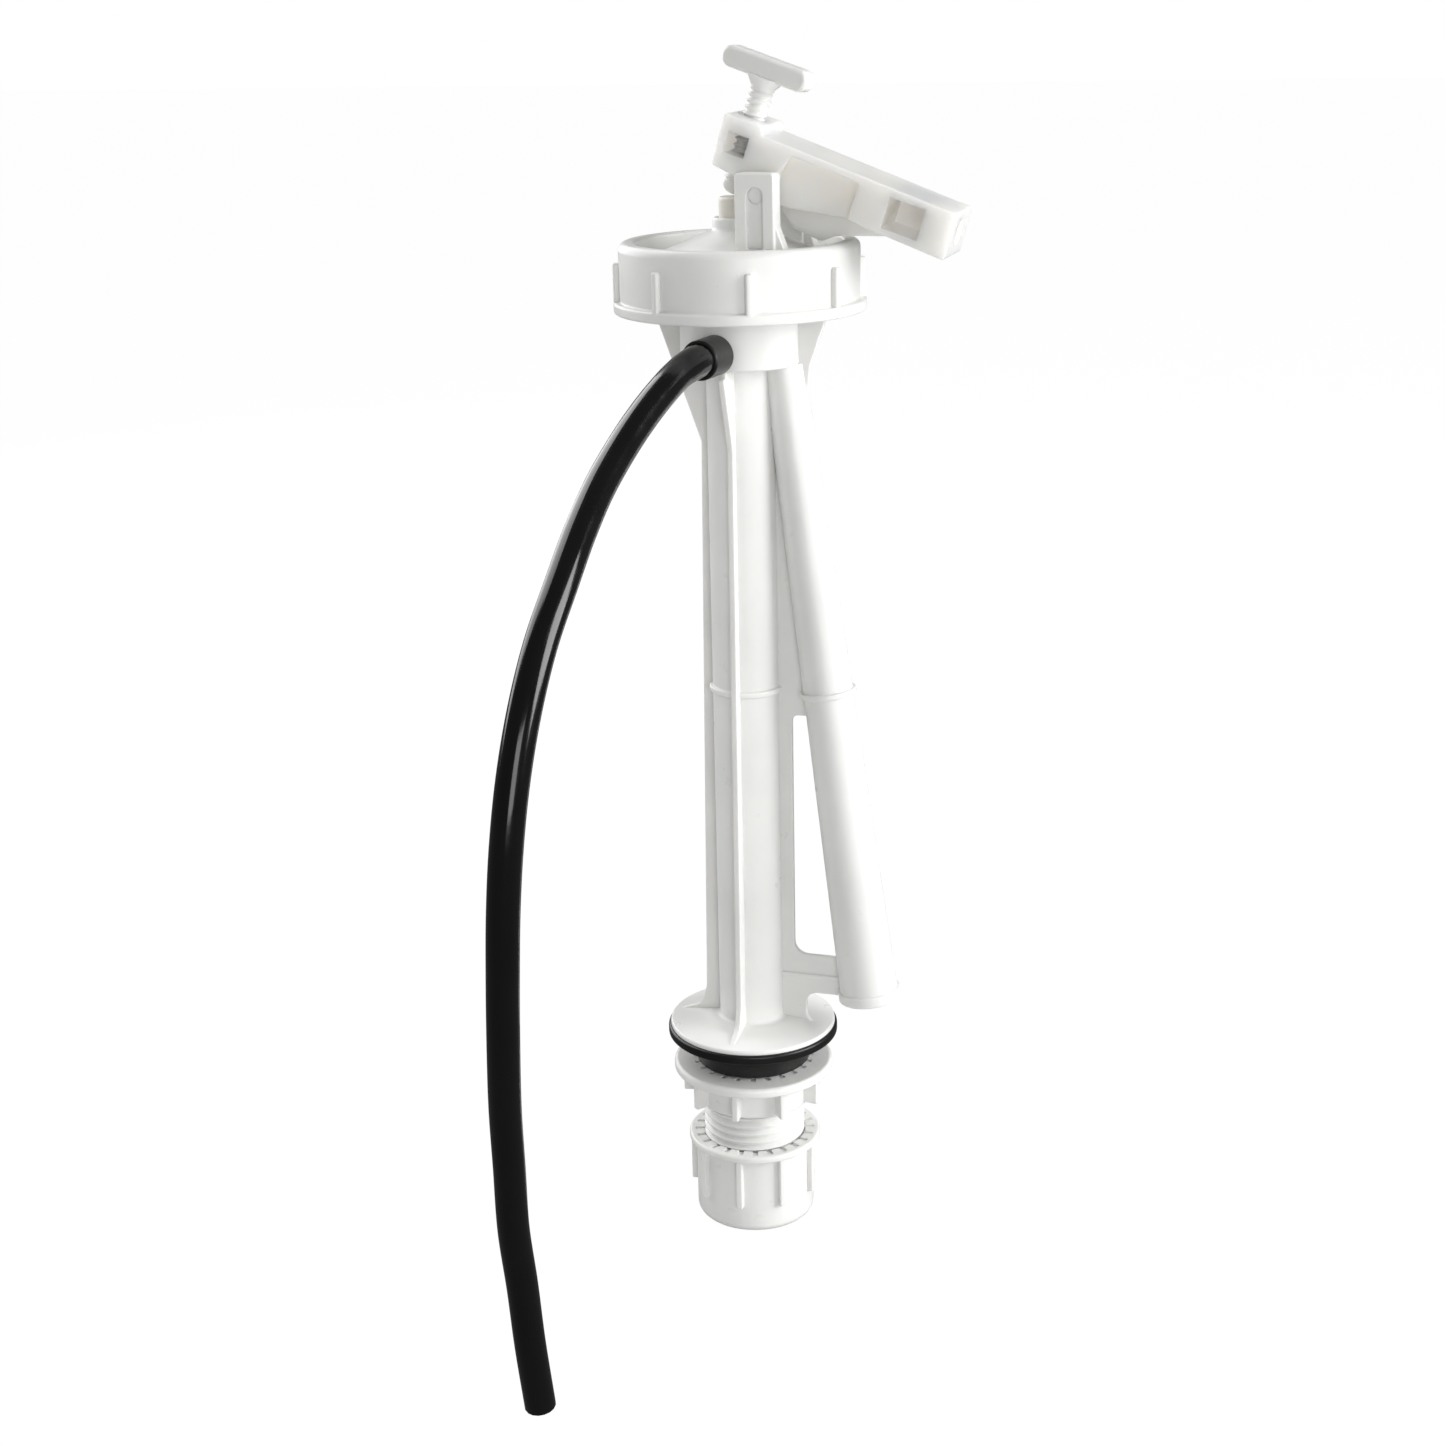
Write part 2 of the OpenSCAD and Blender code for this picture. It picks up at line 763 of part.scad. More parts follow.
module lever() {
    color(white)
        in_arm()
            difference() {
                union() {
                    plate([
                        [screw_u - 4, block_top], [screw_u + 3.8, block_top], [screw_u + 4.6, arm_top_near],
                        [3.2, arm_top(3.2)], [2.2, 4.8], [hub_r, 0], [0, -1], [-hub_r, 0.8],
                        [screw_u - 3.6, 2.1]
                    ], arm_w);
                    translate([0, arm_half, 0])
                        rotate([90, 0, 0])
                            cylinder(r = hub_r, h = arm_w);
                    plate([
                        [0, arm_top(0)], [end_block_u + 1, arm_top(end_block_u + 1)],
                        [end_block_u + 1, 0.9], [5.2, -1.2], [0, -1.5]
                    ], arm_w - 2 * panel_deep);
                    plate([
                        [0, arm_top(0)], [end_block_u + 1, arm_top(end_block_u + 1)],
                        [end_block_u + 1, arm_top(end_block_u + 1) - 1.6], [0, arm_top(0) - 1.6]
                    ], arm_w);
                    plate([
                        [end_block_u, arm_top(end_block_u)], [arm_len - 0.3, arm_top(arm_len)],
                        [arm_len + 0.3, arm_low_far], [arm_len - 7, arm_low_far + 0.4],
                        [end_block_u + 2.6, 0.6], [end_block_u, 0.9]
                    ], arm_w);
                    plate([
                        [0, 0], [end_block_u + 9, 0.8], [end_block_u + 9, 0], [end_block_u + 0.8, -2.7],
                        [end_block_u - 2.5, -3.9], [end_block_u - 4.9, -5.8], [6.5, -5.2], [3, -2.4]
                    ], 3);
                }
                translate([0, arm_w, 0])
                    rotate([90, 0, 0])
                        cylinder(r = pin_r + run_gap, h = 2 * arm_w);
                translate([screw_u, 0, -8])
                    cylinder(r = screw_r + run_gap, h = 30);
                block([screw_u - screw_window[0] / 2, -arm_w, screw_window_w - screw_window[1] / 2],
                    [screw_u + screw_window[0] / 2, arm_w, screw_window_w + screw_window[1] / 2]);
                block([end_window_u - end_window[0] / 2, -arm_half - 1, end_window_w - end_window[1] / 2],
                    [end_window_u + end_window[0] / 2, -arm_half + end_window_deep,
                     end_window_w + end_window[1] / 2]);
                translate([end_window_u - 6, 0, end_window_w])
                    rotate([0, 90, 0])
                        cylinder(d = rod_hole_d, h = 30);
            }
}

module pivot_pin() {
    color(white)
        translate([pivot_x, pin_half, pivot_z])
            rotate([90, 0, 0])
                cylinder(r = pin_r, h = 2 * pin_half);
}

module adjusting_screw() {
    color(white)
        in_arm()
            translate([screw_u, 0, 0])
                rotate([0, 0, -bar_turn])
                    screw_shape();
}

// Adjusting screw upright, with its round tip at the plunger and its bar along X
module screw_shape() {
    bar_half = (bar_len - bar_t) / 2;
    translate([0, 0, screw_ball_w])
        sphere(r = screw_r);
    translate([0, 0, screw_ball_w])
        cylinder(r = screw_r, h = bar_w - screw_ball_w);
    translate([0, 0, bar_w - bar_t / 2 - flare_h])
        cylinder(r1 = screw_r, r2 = screw_r + 1.4, h = flare_h + 0.4);
    for (side = [-1, 1])
        translate([side * bar_half, bar_y / 2, bar_w])
            rotate([90, 0, 0])
                cylinder(d = bar_t, h = bar_y);
    block([-bar_half, -bar_y / 2, bar_w - bar_t / 2], [bar_half, bar_y / 2, bar_w + bar_t / 2]);
}

// Refill line

// Round piece along the refill nozzle, between two distances from the standpipe axis
module along_hose(near, far, r) {
    rotate([0, 0, -nozzle_turn])
        translate([0, -near, hose_z])
            rotate([90, 0, 0])
                cylinder(r = r, h = far - near);
}

module refill_spigot() {
    color(white)
        difference() {
            along_hose(cup_bore_r + 0.3, sleeve_far - part_gap, spigot_r);
            along_hose(cup_bore_r - 1, sleeve_far + 1, spigot_bore_r);
        }
}

module flow_restrictor() {
    color(grey)
        difference() {
            along_hose(cup_bore_r + 1, cup_bore_r + 4, spigot_bore_r - seat_gap);
            along_hose(cup_bore_r, cup_bore_r + 6, 0.6);
        }
}

module hose_sleeve() {
    color(black)
        difference() {
            along_hose(sleeve_near, sleeve_far, sleeve_r);
            along_hose(sleeve_near - 1, sleeve_far + 1, spigot_r + seat_gap);
        }
}

// Tube swept along a route: one ring of points at each stop, closed at both ends
function unit(v) = v / norm(v);

function hose_dir(i) =
    let (n = len(hose_route), a = hose_at(max(i - 1, 0)), b = hose_at(min(i + 1, n)))
        unit(b - a);

function hose_at(i) = i == 0 ? sleeve_far * nozzle_way + [0, 0, hose_z] : hose_route[i - 1];

function hose_ring(i) =
    let (d = i == 0 ? nozzle_way : hose_dir(i), side = unit(cross(d, [1, 0, 0])), up = cross(side, d))
        [for (k = [0 : hose_sides - 1])
            hose_at(i) + hose_r * (cos(k * 360 / hose_sides) * side + sin(k * 360 / hose_sides) * up)];

module refill_tube() {
    last = len(hose_route);
    points = [for (i = [0 : last]) each hose_ring(i)];
    walls = [
        for (i = [0 : last - 1])
            for (k = [0 : hose_sides - 1])
                [i * hose_sides + k, i * hose_sides + (k + 1) % hose_sides,
                 (i + 1) * hose_sides + (k + 1) % hose_sides, (i + 1) * hose_sides + k]
    ];
    near_end = [for (k = [0 : hose_sides - 1]) hose_sides - 1 - k];
    far_end = [for (k = [0 : hose_sides - 1]) last * hose_sides + k];
    color(black)
        polyhedron(points = points, faces = concat([near_end], walls, [far_end]));
}

valve_body();
valve_head();
threaded_shank();
inlet_strainer();
flange_seal();
back_nut();
coupling_nut();
friction_ring();
cone_washer();
valve_seat();
seat_o_ring();
air_flap_ring();
diaphragm();
diaphragm_disc();
cap_nut();
head_cover();
plunger();
plunger_o_ring();
lever();
pivot_pin();
adjusting_screw();
refill_spigot();
flow_restrictor();
hose_sleeve();
refill_tube();
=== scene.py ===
import logging
import math
from dataclasses import dataclass, field
from enum import Enum
from typing import Callable, Iterable, Sequence

import bpy
from mathutils import Matrix, Vector


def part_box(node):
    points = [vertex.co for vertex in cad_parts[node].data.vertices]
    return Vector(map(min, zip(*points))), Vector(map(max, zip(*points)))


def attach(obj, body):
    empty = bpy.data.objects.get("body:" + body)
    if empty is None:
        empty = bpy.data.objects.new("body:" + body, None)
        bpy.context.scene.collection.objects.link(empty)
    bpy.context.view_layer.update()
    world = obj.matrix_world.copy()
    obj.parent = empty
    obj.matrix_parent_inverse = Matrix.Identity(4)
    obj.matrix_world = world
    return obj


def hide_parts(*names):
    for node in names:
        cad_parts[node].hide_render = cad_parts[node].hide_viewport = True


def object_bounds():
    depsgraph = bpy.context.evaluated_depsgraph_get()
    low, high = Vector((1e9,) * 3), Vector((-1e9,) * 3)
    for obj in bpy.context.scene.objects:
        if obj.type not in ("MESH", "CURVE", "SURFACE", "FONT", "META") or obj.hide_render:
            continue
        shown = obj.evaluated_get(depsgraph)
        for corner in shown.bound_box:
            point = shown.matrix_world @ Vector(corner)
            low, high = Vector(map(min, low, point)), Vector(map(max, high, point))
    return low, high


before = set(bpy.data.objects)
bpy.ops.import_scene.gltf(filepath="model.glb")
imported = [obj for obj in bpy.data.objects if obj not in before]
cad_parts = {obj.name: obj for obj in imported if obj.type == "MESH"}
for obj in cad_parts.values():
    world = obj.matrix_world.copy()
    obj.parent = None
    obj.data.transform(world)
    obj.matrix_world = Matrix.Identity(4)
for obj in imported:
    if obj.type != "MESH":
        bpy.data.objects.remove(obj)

CAD_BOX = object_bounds()
LOG = logging.getLogger("float_valve")
MM = 0.001
SHARP = math.radians(30)  # an edge that bends more than this is sharp enough to round
CRISP = math.radians(32)  # an edge that bends more than this is shaded as a corner
Point = tuple[float, float]
Point3 = tuple[float, float, float]


def linear(code: str) -> tuple[float, float, float, float]:
    """Turn an sRGB hex colour into linear values.

    Args:
        code: Six hex digits, such as "E8E8E6".

    Returns:
        Red, green, blue and alpha, linear.
    """
    parts = [int(code[i:i + 2], 16) / 255 for i in (0, 2, 4)]
    return (*[c / 12.92 if c <= 0.04045 else ((c + 0.055) / 1.055) ** 2.4 for c in parts], 1.0)


def top_z(node: str) -> float:
    """Height of the top of a CAD node, in mm."""
    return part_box(node)[1].z / MM


def low_z(node: str) -> float:
    """Height of the bottom of a CAD node, in mm."""
    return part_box(node)[0].z / MM


# Work on meshes, by Blender's own modelling operators


class Boolean(Enum):
    """What a solid does to the piece that it is combined with."""

    ADD = "UNION"
    TAKE = "DIFFERENCE"


def deselect() -> None:
    """Leave edit mode and deselect every object."""
    if bpy.context.object and bpy.context.object.mode != "OBJECT":
        bpy.ops.object.mode_set(mode="OBJECT")
    bpy.ops.object.select_all(action="DESELECT")


def pick(piece: bpy.types.Object) -> None:
    """Make one object the only selected and active one.

    Args:
        piece: The object.
    """
    deselect()
    piece.select_set(True)
    bpy.context.view_layer.objects.active = piece


def edit(piece: bpy.types.Object) -> None:
    """Open one object in edit mode."""
    pick(piece)
    bpy.ops.object.mode_set(mode="EDIT")


def done() -> None:
    """Leave edit mode."""
    bpy.ops.object.mode_set(mode="OBJECT")


def chain(name: str, points: Sequence[Point3]) -> bpy.types.Object:
    """Start a mesh from one vertex and extrude it from point to point.

    Args:
        name: Name of the new object.
        points: Places to visit, in mm; the last may equal the first.

    Returns:
        The object, in edit mode, with everything selected.
    """
    deselect()
    bpy.ops.mesh.primitive_plane_add(size=MM, location=(0, 0, 0))
    piece = bpy.context.object
    piece.name = name
    bpy.ops.object.mode_set(mode="EDIT")
    bpy.ops.mesh.select_all(action="SELECT")
    bpy.ops.mesh.merge(type="CENTER")
    bpy.ops.transform.translate(value=Vector(points[0]) * MM)
    for a, b in zip(points, points[1:]):
        step = (Vector(b) - Vector(a)) * MM
        bpy.ops.mesh.extrude_vertices_move(TRANSFORM_OT_translate={"value": step})
    bpy.ops.mesh.select_all(action="SELECT")
    bpy.ops.mesh.remove_doubles(threshold=1e-7)
    return piece


def turned(name: str, profile: Sequence[Point], steps: int = 96) -> bpy.types.Object:
    """Spin a profile of (radius, height) once round the Z axis.

    Args:
        name: Name of the new object.
        profile: Corners in mm, in order; a closed outline repeats its first.
        steps: Facets round the axis.

    Returns:
        The closed solid, at the origin.
    """
    piece = chain(name, [(r, 0, z) for r, z in profile])
    bpy.ops.mesh.spin(steps=steps, angle=2 * math.pi, center=(0, 0, 0), axis=(0, 0, 1))
    bpy.ops.mesh.select_all(action="SELECT")
    bpy.ops.mesh.remove_doubles(threshold=2e-6)
    bpy.ops.mesh.normals_make_consistent(inside=False)
    done()
    return piece


def round_sharp(width: float, segments: int = 3) -> None:
    """Round the sharp edges of the mesh in edit mode.

    Args:
        width: Size of the rounding, in mm.
        segments: Facets across the rounding.
    """
    bpy.ops.mesh.select_mode(type="EDGE")
    bpy.ops.mesh.select_all(action="DESELECT")
    bpy.ops.mesh.edges_select_sharp(sharpness=SHARP)
    bpy.ops.mesh.bevel(offset=width * MM, segments=segments, affect="EDGES", clamp_overlap=True)
    bpy.ops.mesh.select_mode(type="VERT")


def plate(name: str, outline: Sequence[Point], thick: float, rounding: float = 0.0,
          mid_y: float = 0.0, segments: int = 3) -> bpy.types.Object:
    """Upright plate with an outline in the XZ plane.

    Args:
        name: Name of the new object.
        outline: Corners (x, z) in mm, in order, first not repeated.
        thick: Thickness along Y, in mm.
        rounding: Rounding of its sharp edges, in mm; 0 leaves them.
        mid_y: Middle of its thickness, in mm.
        segments: Facets across the rounding.

    Returns:
        The closed solid, at the origin.
    """
    y = mid_y - thick / 2
    piece = chain(name, [(x, y, z) for x, z in [*outline, outline[0]]])
    bpy.ops.mesh.edge_face_add()
    bpy.ops.mesh.extrude_region_move(TRANSFORM_OT_translate={"value": (0, thick * MM, 0)})
    bpy.ops.mesh.select_all(action="SELECT")
    bpy.ops.mesh.normals_make_consistent(inside=False)
    if rounding:
        round_sharp(rounding, segments)
    done()
    return piece


def block(name: str, low: Point3, high: Point3, rounding: float = 0.0) -> bpy.types.Object:
    """Box between two corners, with rounded edges.

    Args:
        name: Name of the new object.
        low: Its lowest corner, in mm.
        high: Its highest corner, in mm.
        rounding: Rounding of its edges, in mm; 0 leaves them.

    Returns:
        The closed solid, at the origin.
    """
    deselect()
    bpy.ops.mesh.primitive_cube_add(size=1, location=(Vector(low) + Vector(high)) / 2 * MM)
    piece = bpy.context.object
    piece.name = name
    piece.scale = (Vector(high) - Vector(low)) * MM
    bpy.ops.object.transform_apply(location=True, rotation=True, scale=True)
    if rounding:
        edit(piece)
        round_sharp(rounding)
        done()
    return piece


def rod(name: str, radius: float, low: float, high: float, rounding: float = 0.0,
        steps: int = 64) -> bpy.types.Object:
    """Solid round bar along Z, with rounded rims.

    Args:
        name: Name of the new object.
        radius: Radius, in mm.
        low: Height of its lower end, in mm.
        high: Height of its upper end, in mm.
        rounding: Rounding of its rims, in mm.
        steps: Facets round the axis.

    Returns:
        The closed solid, at the origin.
    """
    outline = soft([(0, low, 0), (radius, low, rounding), (radius, high, rounding), (0, high, 0)])
    return turned(name, outline, steps)


def soft(corners: Sequence[Point3], steps: int = 4, closed: bool = False) -> list[Point]:
    """Round the corners of an outline.

    Args:
        corners: (x, z, radius) in mm for each corner.
        steps: Facets in each rounded corner.
        closed: Whether the outline comes back to its first corner.

    Returns:
        The corners of the rounded outline; a closed one repeats its first.
    """
    out: list[Point] = []
    count = len(corners)
    for i, (x, z, radius) in enumerate(corners):
        here = Vector((x, z))
        if radius <= 0 or (not closed and i in (0, count - 1)):
            out.append((x, z))
            continue
        a = Vector(corners[i - 1][:2]) - here
        b = Vector(corners[(i + 1) % count][:2]) - here
        half = a.angle(b) / 2
        reach = min(radius / math.tan(half), 0.49 * a.length, 0.49 * b.length)
        start, end = here + a.normalized() * reach, here + b.normalized() * reach
        middle = here + (a.normalized() + b.normalized()).normalized() * reach / math.cos(half)
        turn = (start - middle).angle_signed(end - middle)
        for k in range(steps + 1):
            spoke = Matrix.Rotation(-turn * k / steps, 2) @ (start - middle)
            out.append(tuple(middle + spoke.normalized() * (start - middle).length))
    return [*out, out[0]] if closed else out


def place(piece: bpy.types.Object, turn: float = 0.0, axis: str = "Z",
          to: Point3 = (0, 0, 0)) -> bpy.types.Object:
    """Turn a piece about an axis through the origin, then move it, in its mesh.

    Args:
        piece: The piece.
        turn: Angle in degrees, right-handed.
        axis: X, Y or Z.
        to: Where its origin goes, in mm.

    Returns:
        The same piece.
    """
    pick(piece)
    piece.matrix_world = Matrix.Translation(Vector(to) * MM) @ Matrix.Rotation(math.radians(turn), 4, axis)
    bpy.ops.object.transform_apply(location=True, rotation=True, scale=True)
    return piece


def copied(piece: bpy.types.Object) -> bpy.types.Object:
    """Copy a piece with a mesh of its own.

    Args:
        piece: The piece to copy.

    Returns:
        The copy.
    """
    pick(piece)
    bpy.ops.object.duplicate(linked=False)
    return bpy.context.object


def around(piece: bpy.types.Object, count: int, first: float = 0.0) -> bpy.types.Object:
    """Repeat a piece round the Z axis and join the copies.

    Args:
        piece: The piece to repeat.
        count: Number of pieces in the full circle.
        first: Angle of the first, in degrees.

    Returns:
        One object with all the copies.
    """
    copies = [place(copied(piece), first + 360 * i / count) for i in range(count)]
    bpy.data.objects.remove(piece)
    return joined(copies)


def joined(parts: Sequence[bpy.types.Object]) -> bpy.types.Object:
    """Join parts that don't touch into one object.

    Args:
        parts: The parts, which are used up.

    Returns:
        The one object.
    """
    pick(parts[0])
    for part in parts:
        part.select_set(True)
    bpy.ops.object.join()
    return bpy.context.object


def combine(piece: bpy.types.Object, others: Iterable[bpy.types.Object],
            how: Boolean) -> bpy.types.Object:
    """Combine solids with a piece, one after another.

    Args:
        piece: The piece that stays.
        others: The solids to use up.
        how: Whether they are added or taken away.

    Returns:
        The same piece.
    """
    for other in others:
        tool = piece.modifiers.new("combine", "BOOLEAN")
        tool.operation = how.value
        tool.solver = "EXACT"
        tool.object = other
        pick(piece)
        bpy.ops.object.modifier_apply(modifier=tool.name)
        bpy.data.objects.remove(other)
    return piece


def weld(piece: bpy.types.Object, *others: bpy.types.Object) -> bpy.types.Object:
    """Add solids to a piece."""
    return combine(piece, others, Boolean.ADD)


def cut(piece: bpy.types.Object, *others: bpy.types.Object) -> bpy.types.Object:
    """Take solids away from a piece."""
    return combine(piece, others, Boolean.TAKE)


def round_where(piece: bpy.types.Object, test: Callable[[Vector, Vector], bool], width: float,
                segments: int = 2) -> None:
    """Round the sharp edges whose ends both pass a test.

    Args:
        piece: The piece.
        test: Takes the two ends of an edge, in mm.
        width: Size of the rounding, in mm.
        segments: Facets across the rounding.
    """
    edit(piece)
    bpy.ops.mesh.select_mode(type="EDGE")
    bpy.ops.mesh.select_all(action="DESELECT")
    bpy.ops.mesh.edges_select_sharp(sharpness=SHARP)
    done()
    verts = piece.data.vertices
    for line in piece.data.edges:
        a, b = (verts[v].co / MM for v in line.vertices)
        line.select = line.select and test(a, b)
    bpy.ops.object.mode_set(mode="EDIT")
    bpy.ops.mesh.bevel(offset=width * MM, segments=segments, affect="EDGES", clamp_overlap=True)
    bpy.ops.mesh.select_mode(type="VERT")
    done()


def threaded(name: str, crest: float, root: float, pitch: float, low: float, high: float,
             steps: int = 64) -> bpy.types.Object:
    """Solid bar with a right-hand helical thread.

    Args:
        name: Name of the new object.
        crest: Radius over the thread, in mm.
        root: Radius at its root, in mm.
        pitch: Pitch, in mm.
        low: Height of its lower end, in mm.
        high: Height of its upper end, in mm.
        steps: Facets in one turn.

    Returns:
        The closed solid, at the origin.
    """
    start = low - 2 * pitch
    # Section of one tooth: radius, and height as a share of the pitch.
    tooth = [(root, 0), (root, 0.12), (crest - 0.04, 0.42), (crest, 0.46), (crest, 0.54),
             (crest - 0.04, 0.58), (root, 0.88), (root, 1)]
    piece = chain(name, [(r, 0, start + t * pitch) for r, t in tooth])
    done()
    tool = piece.modifiers.new("helix", "SCREW")
    tool.steps = tool.render_steps = steps
    tool.iterations = math.ceil((high - low) / pitch) + 4
    tool.screw_offset = pitch * MM
    tool.use_merge_vertices = True
    tool.merge_threshold = 1e-6
    bpy.ops.object.modifier_apply(modifier=tool.name)
    edit(piece)
    bpy.ops.mesh.select_all(action="SELECT")
    bpy.ops.mesh.remove_doubles(threshold=3e-6)
    for height, way in ((low, -1), (high, 1)):
        bpy.ops.mesh.select_all(action="SELECT")
        bpy.ops.mesh.bisect(plane_co=(0, 0, height * MM), plane_no=(0, 0, way), use_fill=True,
                            clear_outer=True, threshold=1e-8)
    bpy.ops.mesh.select_all(action="SELECT")
    bpy.ops.mesh.remove_doubles(threshold=1e-6)
    bpy.ops.mesh.normals_make_consistent(inside=False)
    done()
    return piece


def smooth(piece: bpy.types.Object) -> None:
    """Shade a piece smooth between facets and crisp at its corners.

    Args:
        piece: The piece.
    """
    pick(piece)
    bpy.ops.object.shade_smooth_by_angle(angle=CRISP)
    tool = piece.modifiers.new("normals", "WEIGHTED_NORMAL")
    tool.keep_sharp = True
    bpy.ops.object.modifier_apply(modifier=tool.name)


# Finishes


class Graph:
    """Node tree of one material or of the world."""

    def __init__(self, owner: bpy.types.Material | bpy.types.World) -> None:
        """Empty the node tree of a new material or world.

        Args:
            owner: The material or the world.
        """
        self.owner = owner
        owner.use_nodes = True
        self.tree = owner.node_tree
        self.tree.nodes.clear()

    def add(self, kind: str, links: dict | None = None, **settings: object) -> bpy.types.Node:
        """Add a node with its settings, socket values and links.

        Args:
            kind: Node type, without the ShaderNode prefix.
            links: Input name or number to a value, or to an output socket.
            **settings: Properties of the node.

        Returns:
            The new node.
        """
        node = self.tree.nodes.new("ShaderNode" + kind)
        for key, value in settings.items():
            setattr(node, key, value)
        for key, value in (links or {}).items():
            if isinstance(value, bpy.types.NodeSocket):
                self.tree.links.new(value, node.inputs[key])
            else:
                node.inputs[key].default_value = value
        return node


@dataclass(frozen=True)
class Plastic:
    """Injection-moulded plastic with a faint skin texture.

    The tone drifts a little with the flow of the melt, the gloss varies from
    spot to spot, and the skin has a soft orange-peel relief with a finer
    grain in it, drawn at 0.3 mm, which is as coarse as it needs to show.

    Attributes:
        name: Name of the material.
        colour: Its colour, sRGB hex.
        deep: Its colour where the melt is denser, sRGB hex.
        rough: Middle of its roughness; grit is how far that varies either way.
        ior: Index of refraction.
        peel_mm: Size of the orange peel; grain_mm is the size of the fine grain.
        relief: Strength of both in the skin, which is relief_mm deep.
        translucent: Share of the light that goes into it, to depth_mm.
        flow_mm: Size of the drift in tone; spot_mm is the size of the gloss spots.
    """

    name: str
    colour: str
    deep: str
    rough: float
    ior: float = 1.48
    peel_mm: float = 1.6
    relief: float = 0.05
    translucent: float = 0.0
    grit: float = 0.06
    depth_mm: float = 1.5
    flow_mm: float = 22.0
    spot_mm: float = 5.0
    grain_mm: float = 0.3
    relief_mm: float = 0.3

    def skin(self, g: Graph, place_in: bpy.types.NodeSocket) -> bpy.types.NodeSocket:
        """Height of the skin: orange peel with a finer grain in it.

        Args:
            g: The material's node tree.
            place_in: Object coordinates.

        Returns:
            The socket that gives the height.
        """
        peel = g.add("TexNoise", {"Vector": place_in, "Scale": 1 / (self.peel_mm * MM), "Detail": 2.0})
        fine = g.add("TexNoise", {"Vector": place_in, "Scale": 1 / (self.grain_mm * MM), "Detail": 1.0})
        return g.add("Math", {0: fine.outputs["Fac"], 1: 0.3, 2: peel.outputs["Fac"]},
                     operation="MULTIPLY_ADD").outputs[0]

    def build(self) -> bpy.types.Material:
        """Make the material.

        Returns:
            The material, with all its nodes.
        """
        g = Graph(bpy.data.materials.new(self.name))
        place_in = g.add("TexCoord").outputs["Object"]
        flow = g.add("TexNoise", {"Vector": place_in, "Scale": 1 / (self.flow_mm * MM), "Detail": 3.0})
        tone = g.add("ValToRGB", {"Fac": flow.outputs["Fac"]})
        tone.color_ramp.elements[0].position = 0.3
        tone.color_ramp.elements[0].color = linear(self.deep)
        tone.color_ramp.elements[1].position = 0.72
        tone.color_ramp.elements[1].color = linear(self.colour)
        handled = g.add("TexNoise", {"Vector": place_in, "Scale": 1 / (self.spot_mm * MM),
                                     "Detail": 5.0})
        gloss = g.add("MapRange", {"Value": handled.outputs["Fac"], "From Min": 0.3, "From Max": 0.7,
                                   "To Min": self.rough - self.grit, "To Max": self.rough + self.grit})
        bump = g.add("Bump", {"Height": self.skin(g, place_in), "Strength": self.relief,
                              "Distance": self.relief_mm * MM})
        shader = g.add("BsdfPrincipled", {
            "Base Color": tone.outputs["Color"], "Roughness": gloss.outputs["Result"],
            "Normal": bump.outputs["Normal"], "IOR": self.ior,
            "Subsurface Weight": self.translucent, "Subsurface Scale": self.depth_mm * MM,
            "Subsurface Radius": (1.0, 0.9, 0.8)})
        g.add("OutputMaterial", {"Surface": shader.outputs["BSDF"]})
        return g.owner


@dataclass(frozen=True)
class Tubing(Plastic):
    """Extruded soft tubing, with die lines along its length."""

    lines: float = 9.0

    def skin(self, g: Graph, place_in: bpy.types.NodeSocket) -> bpy.types.NodeSocket:
        """Height of the skin, with the die lines on the piece's own UV map.

        Args:
            g: The material's node tree.
            place_in: Object coordinates.

        Returns:
            The socket that gives the height.
        """
        plain = super().skin(g, place_in)
        along = g.add("UVMap").outputs["UV"]
        wave = g.add("TexWave", {"Vector": along, "Scale": self.lines, "Distortion": 1.2},
                     bands_direction="Y")
        return g.add("Math", {0: wave.outputs["Fac"], 1: 0.5, 2: plain},
                     operation="MULTIPLY_ADD").outputs[0]


# Acetal, moulded: bright white with a light gloss, and slightly see-through at thin edges.
ACETAL = Plastic("moulded_white_acetal", "ECECEA", "E3E3E1", rough=0.33, translucent=0.25)
# Unpigmented acetal for the plunger, the seat and the stiff disc: warmer and milky.
IVORY = Plastic("moulded_natural_acetal", "E8E5DC", "DFDBCF", rough=0.36, translucent=0.15)
# The arm is thin acetal that lets light through, so its windows and underside glow.
ARM_ACETAL = Plastic("moulded_translucent_acetal", "EBEAE7", "E5E3DD", rough=0.35,
                     translucent=0.85, depth_mm=12.0)
# Polyethylene, moulded: grey and matt.
POLYETHYLENE = Plastic("moulded_grey_polyethylene", "8F9194", "818386", rough=0.5, ior=1.51,
                       peel_mm=1.2, relief=0.08)
# Rubber, pressed in a mould: near black and satin, with a fine grain.
RUBBER = Plastic("moulded_black_rubber", "131211", "0C0B0B", rough=0.36, ior=1.52,
                 peel_mm=0.8, relief=0.12)
# Soft PVC, extruded: black and glossy, so it shows long streaks of light.
VINYL = Tubing("extruded_black_vinyl", "0C0C0D", "070708", rough=0.15, ior=1.5,
               peel_mm=3.0, relief=0.04, grit=0.04)


class Finishes:
    """The finishes, each built once."""

    def __init__(self) -> None:
        """Start with no material built."""
        self._built: dict[str, bpy.types.Material] = {}

    def get(self, finish: Plastic) -> bpy.types.Material:
        """The material of a finish.

        Args:
            finish: The finish.

        Returns:
            Its material, built once.
        """
        if finish.name not in self._built:
            self._built[finish.name] = finish.build()
        return self._built[finish.name]


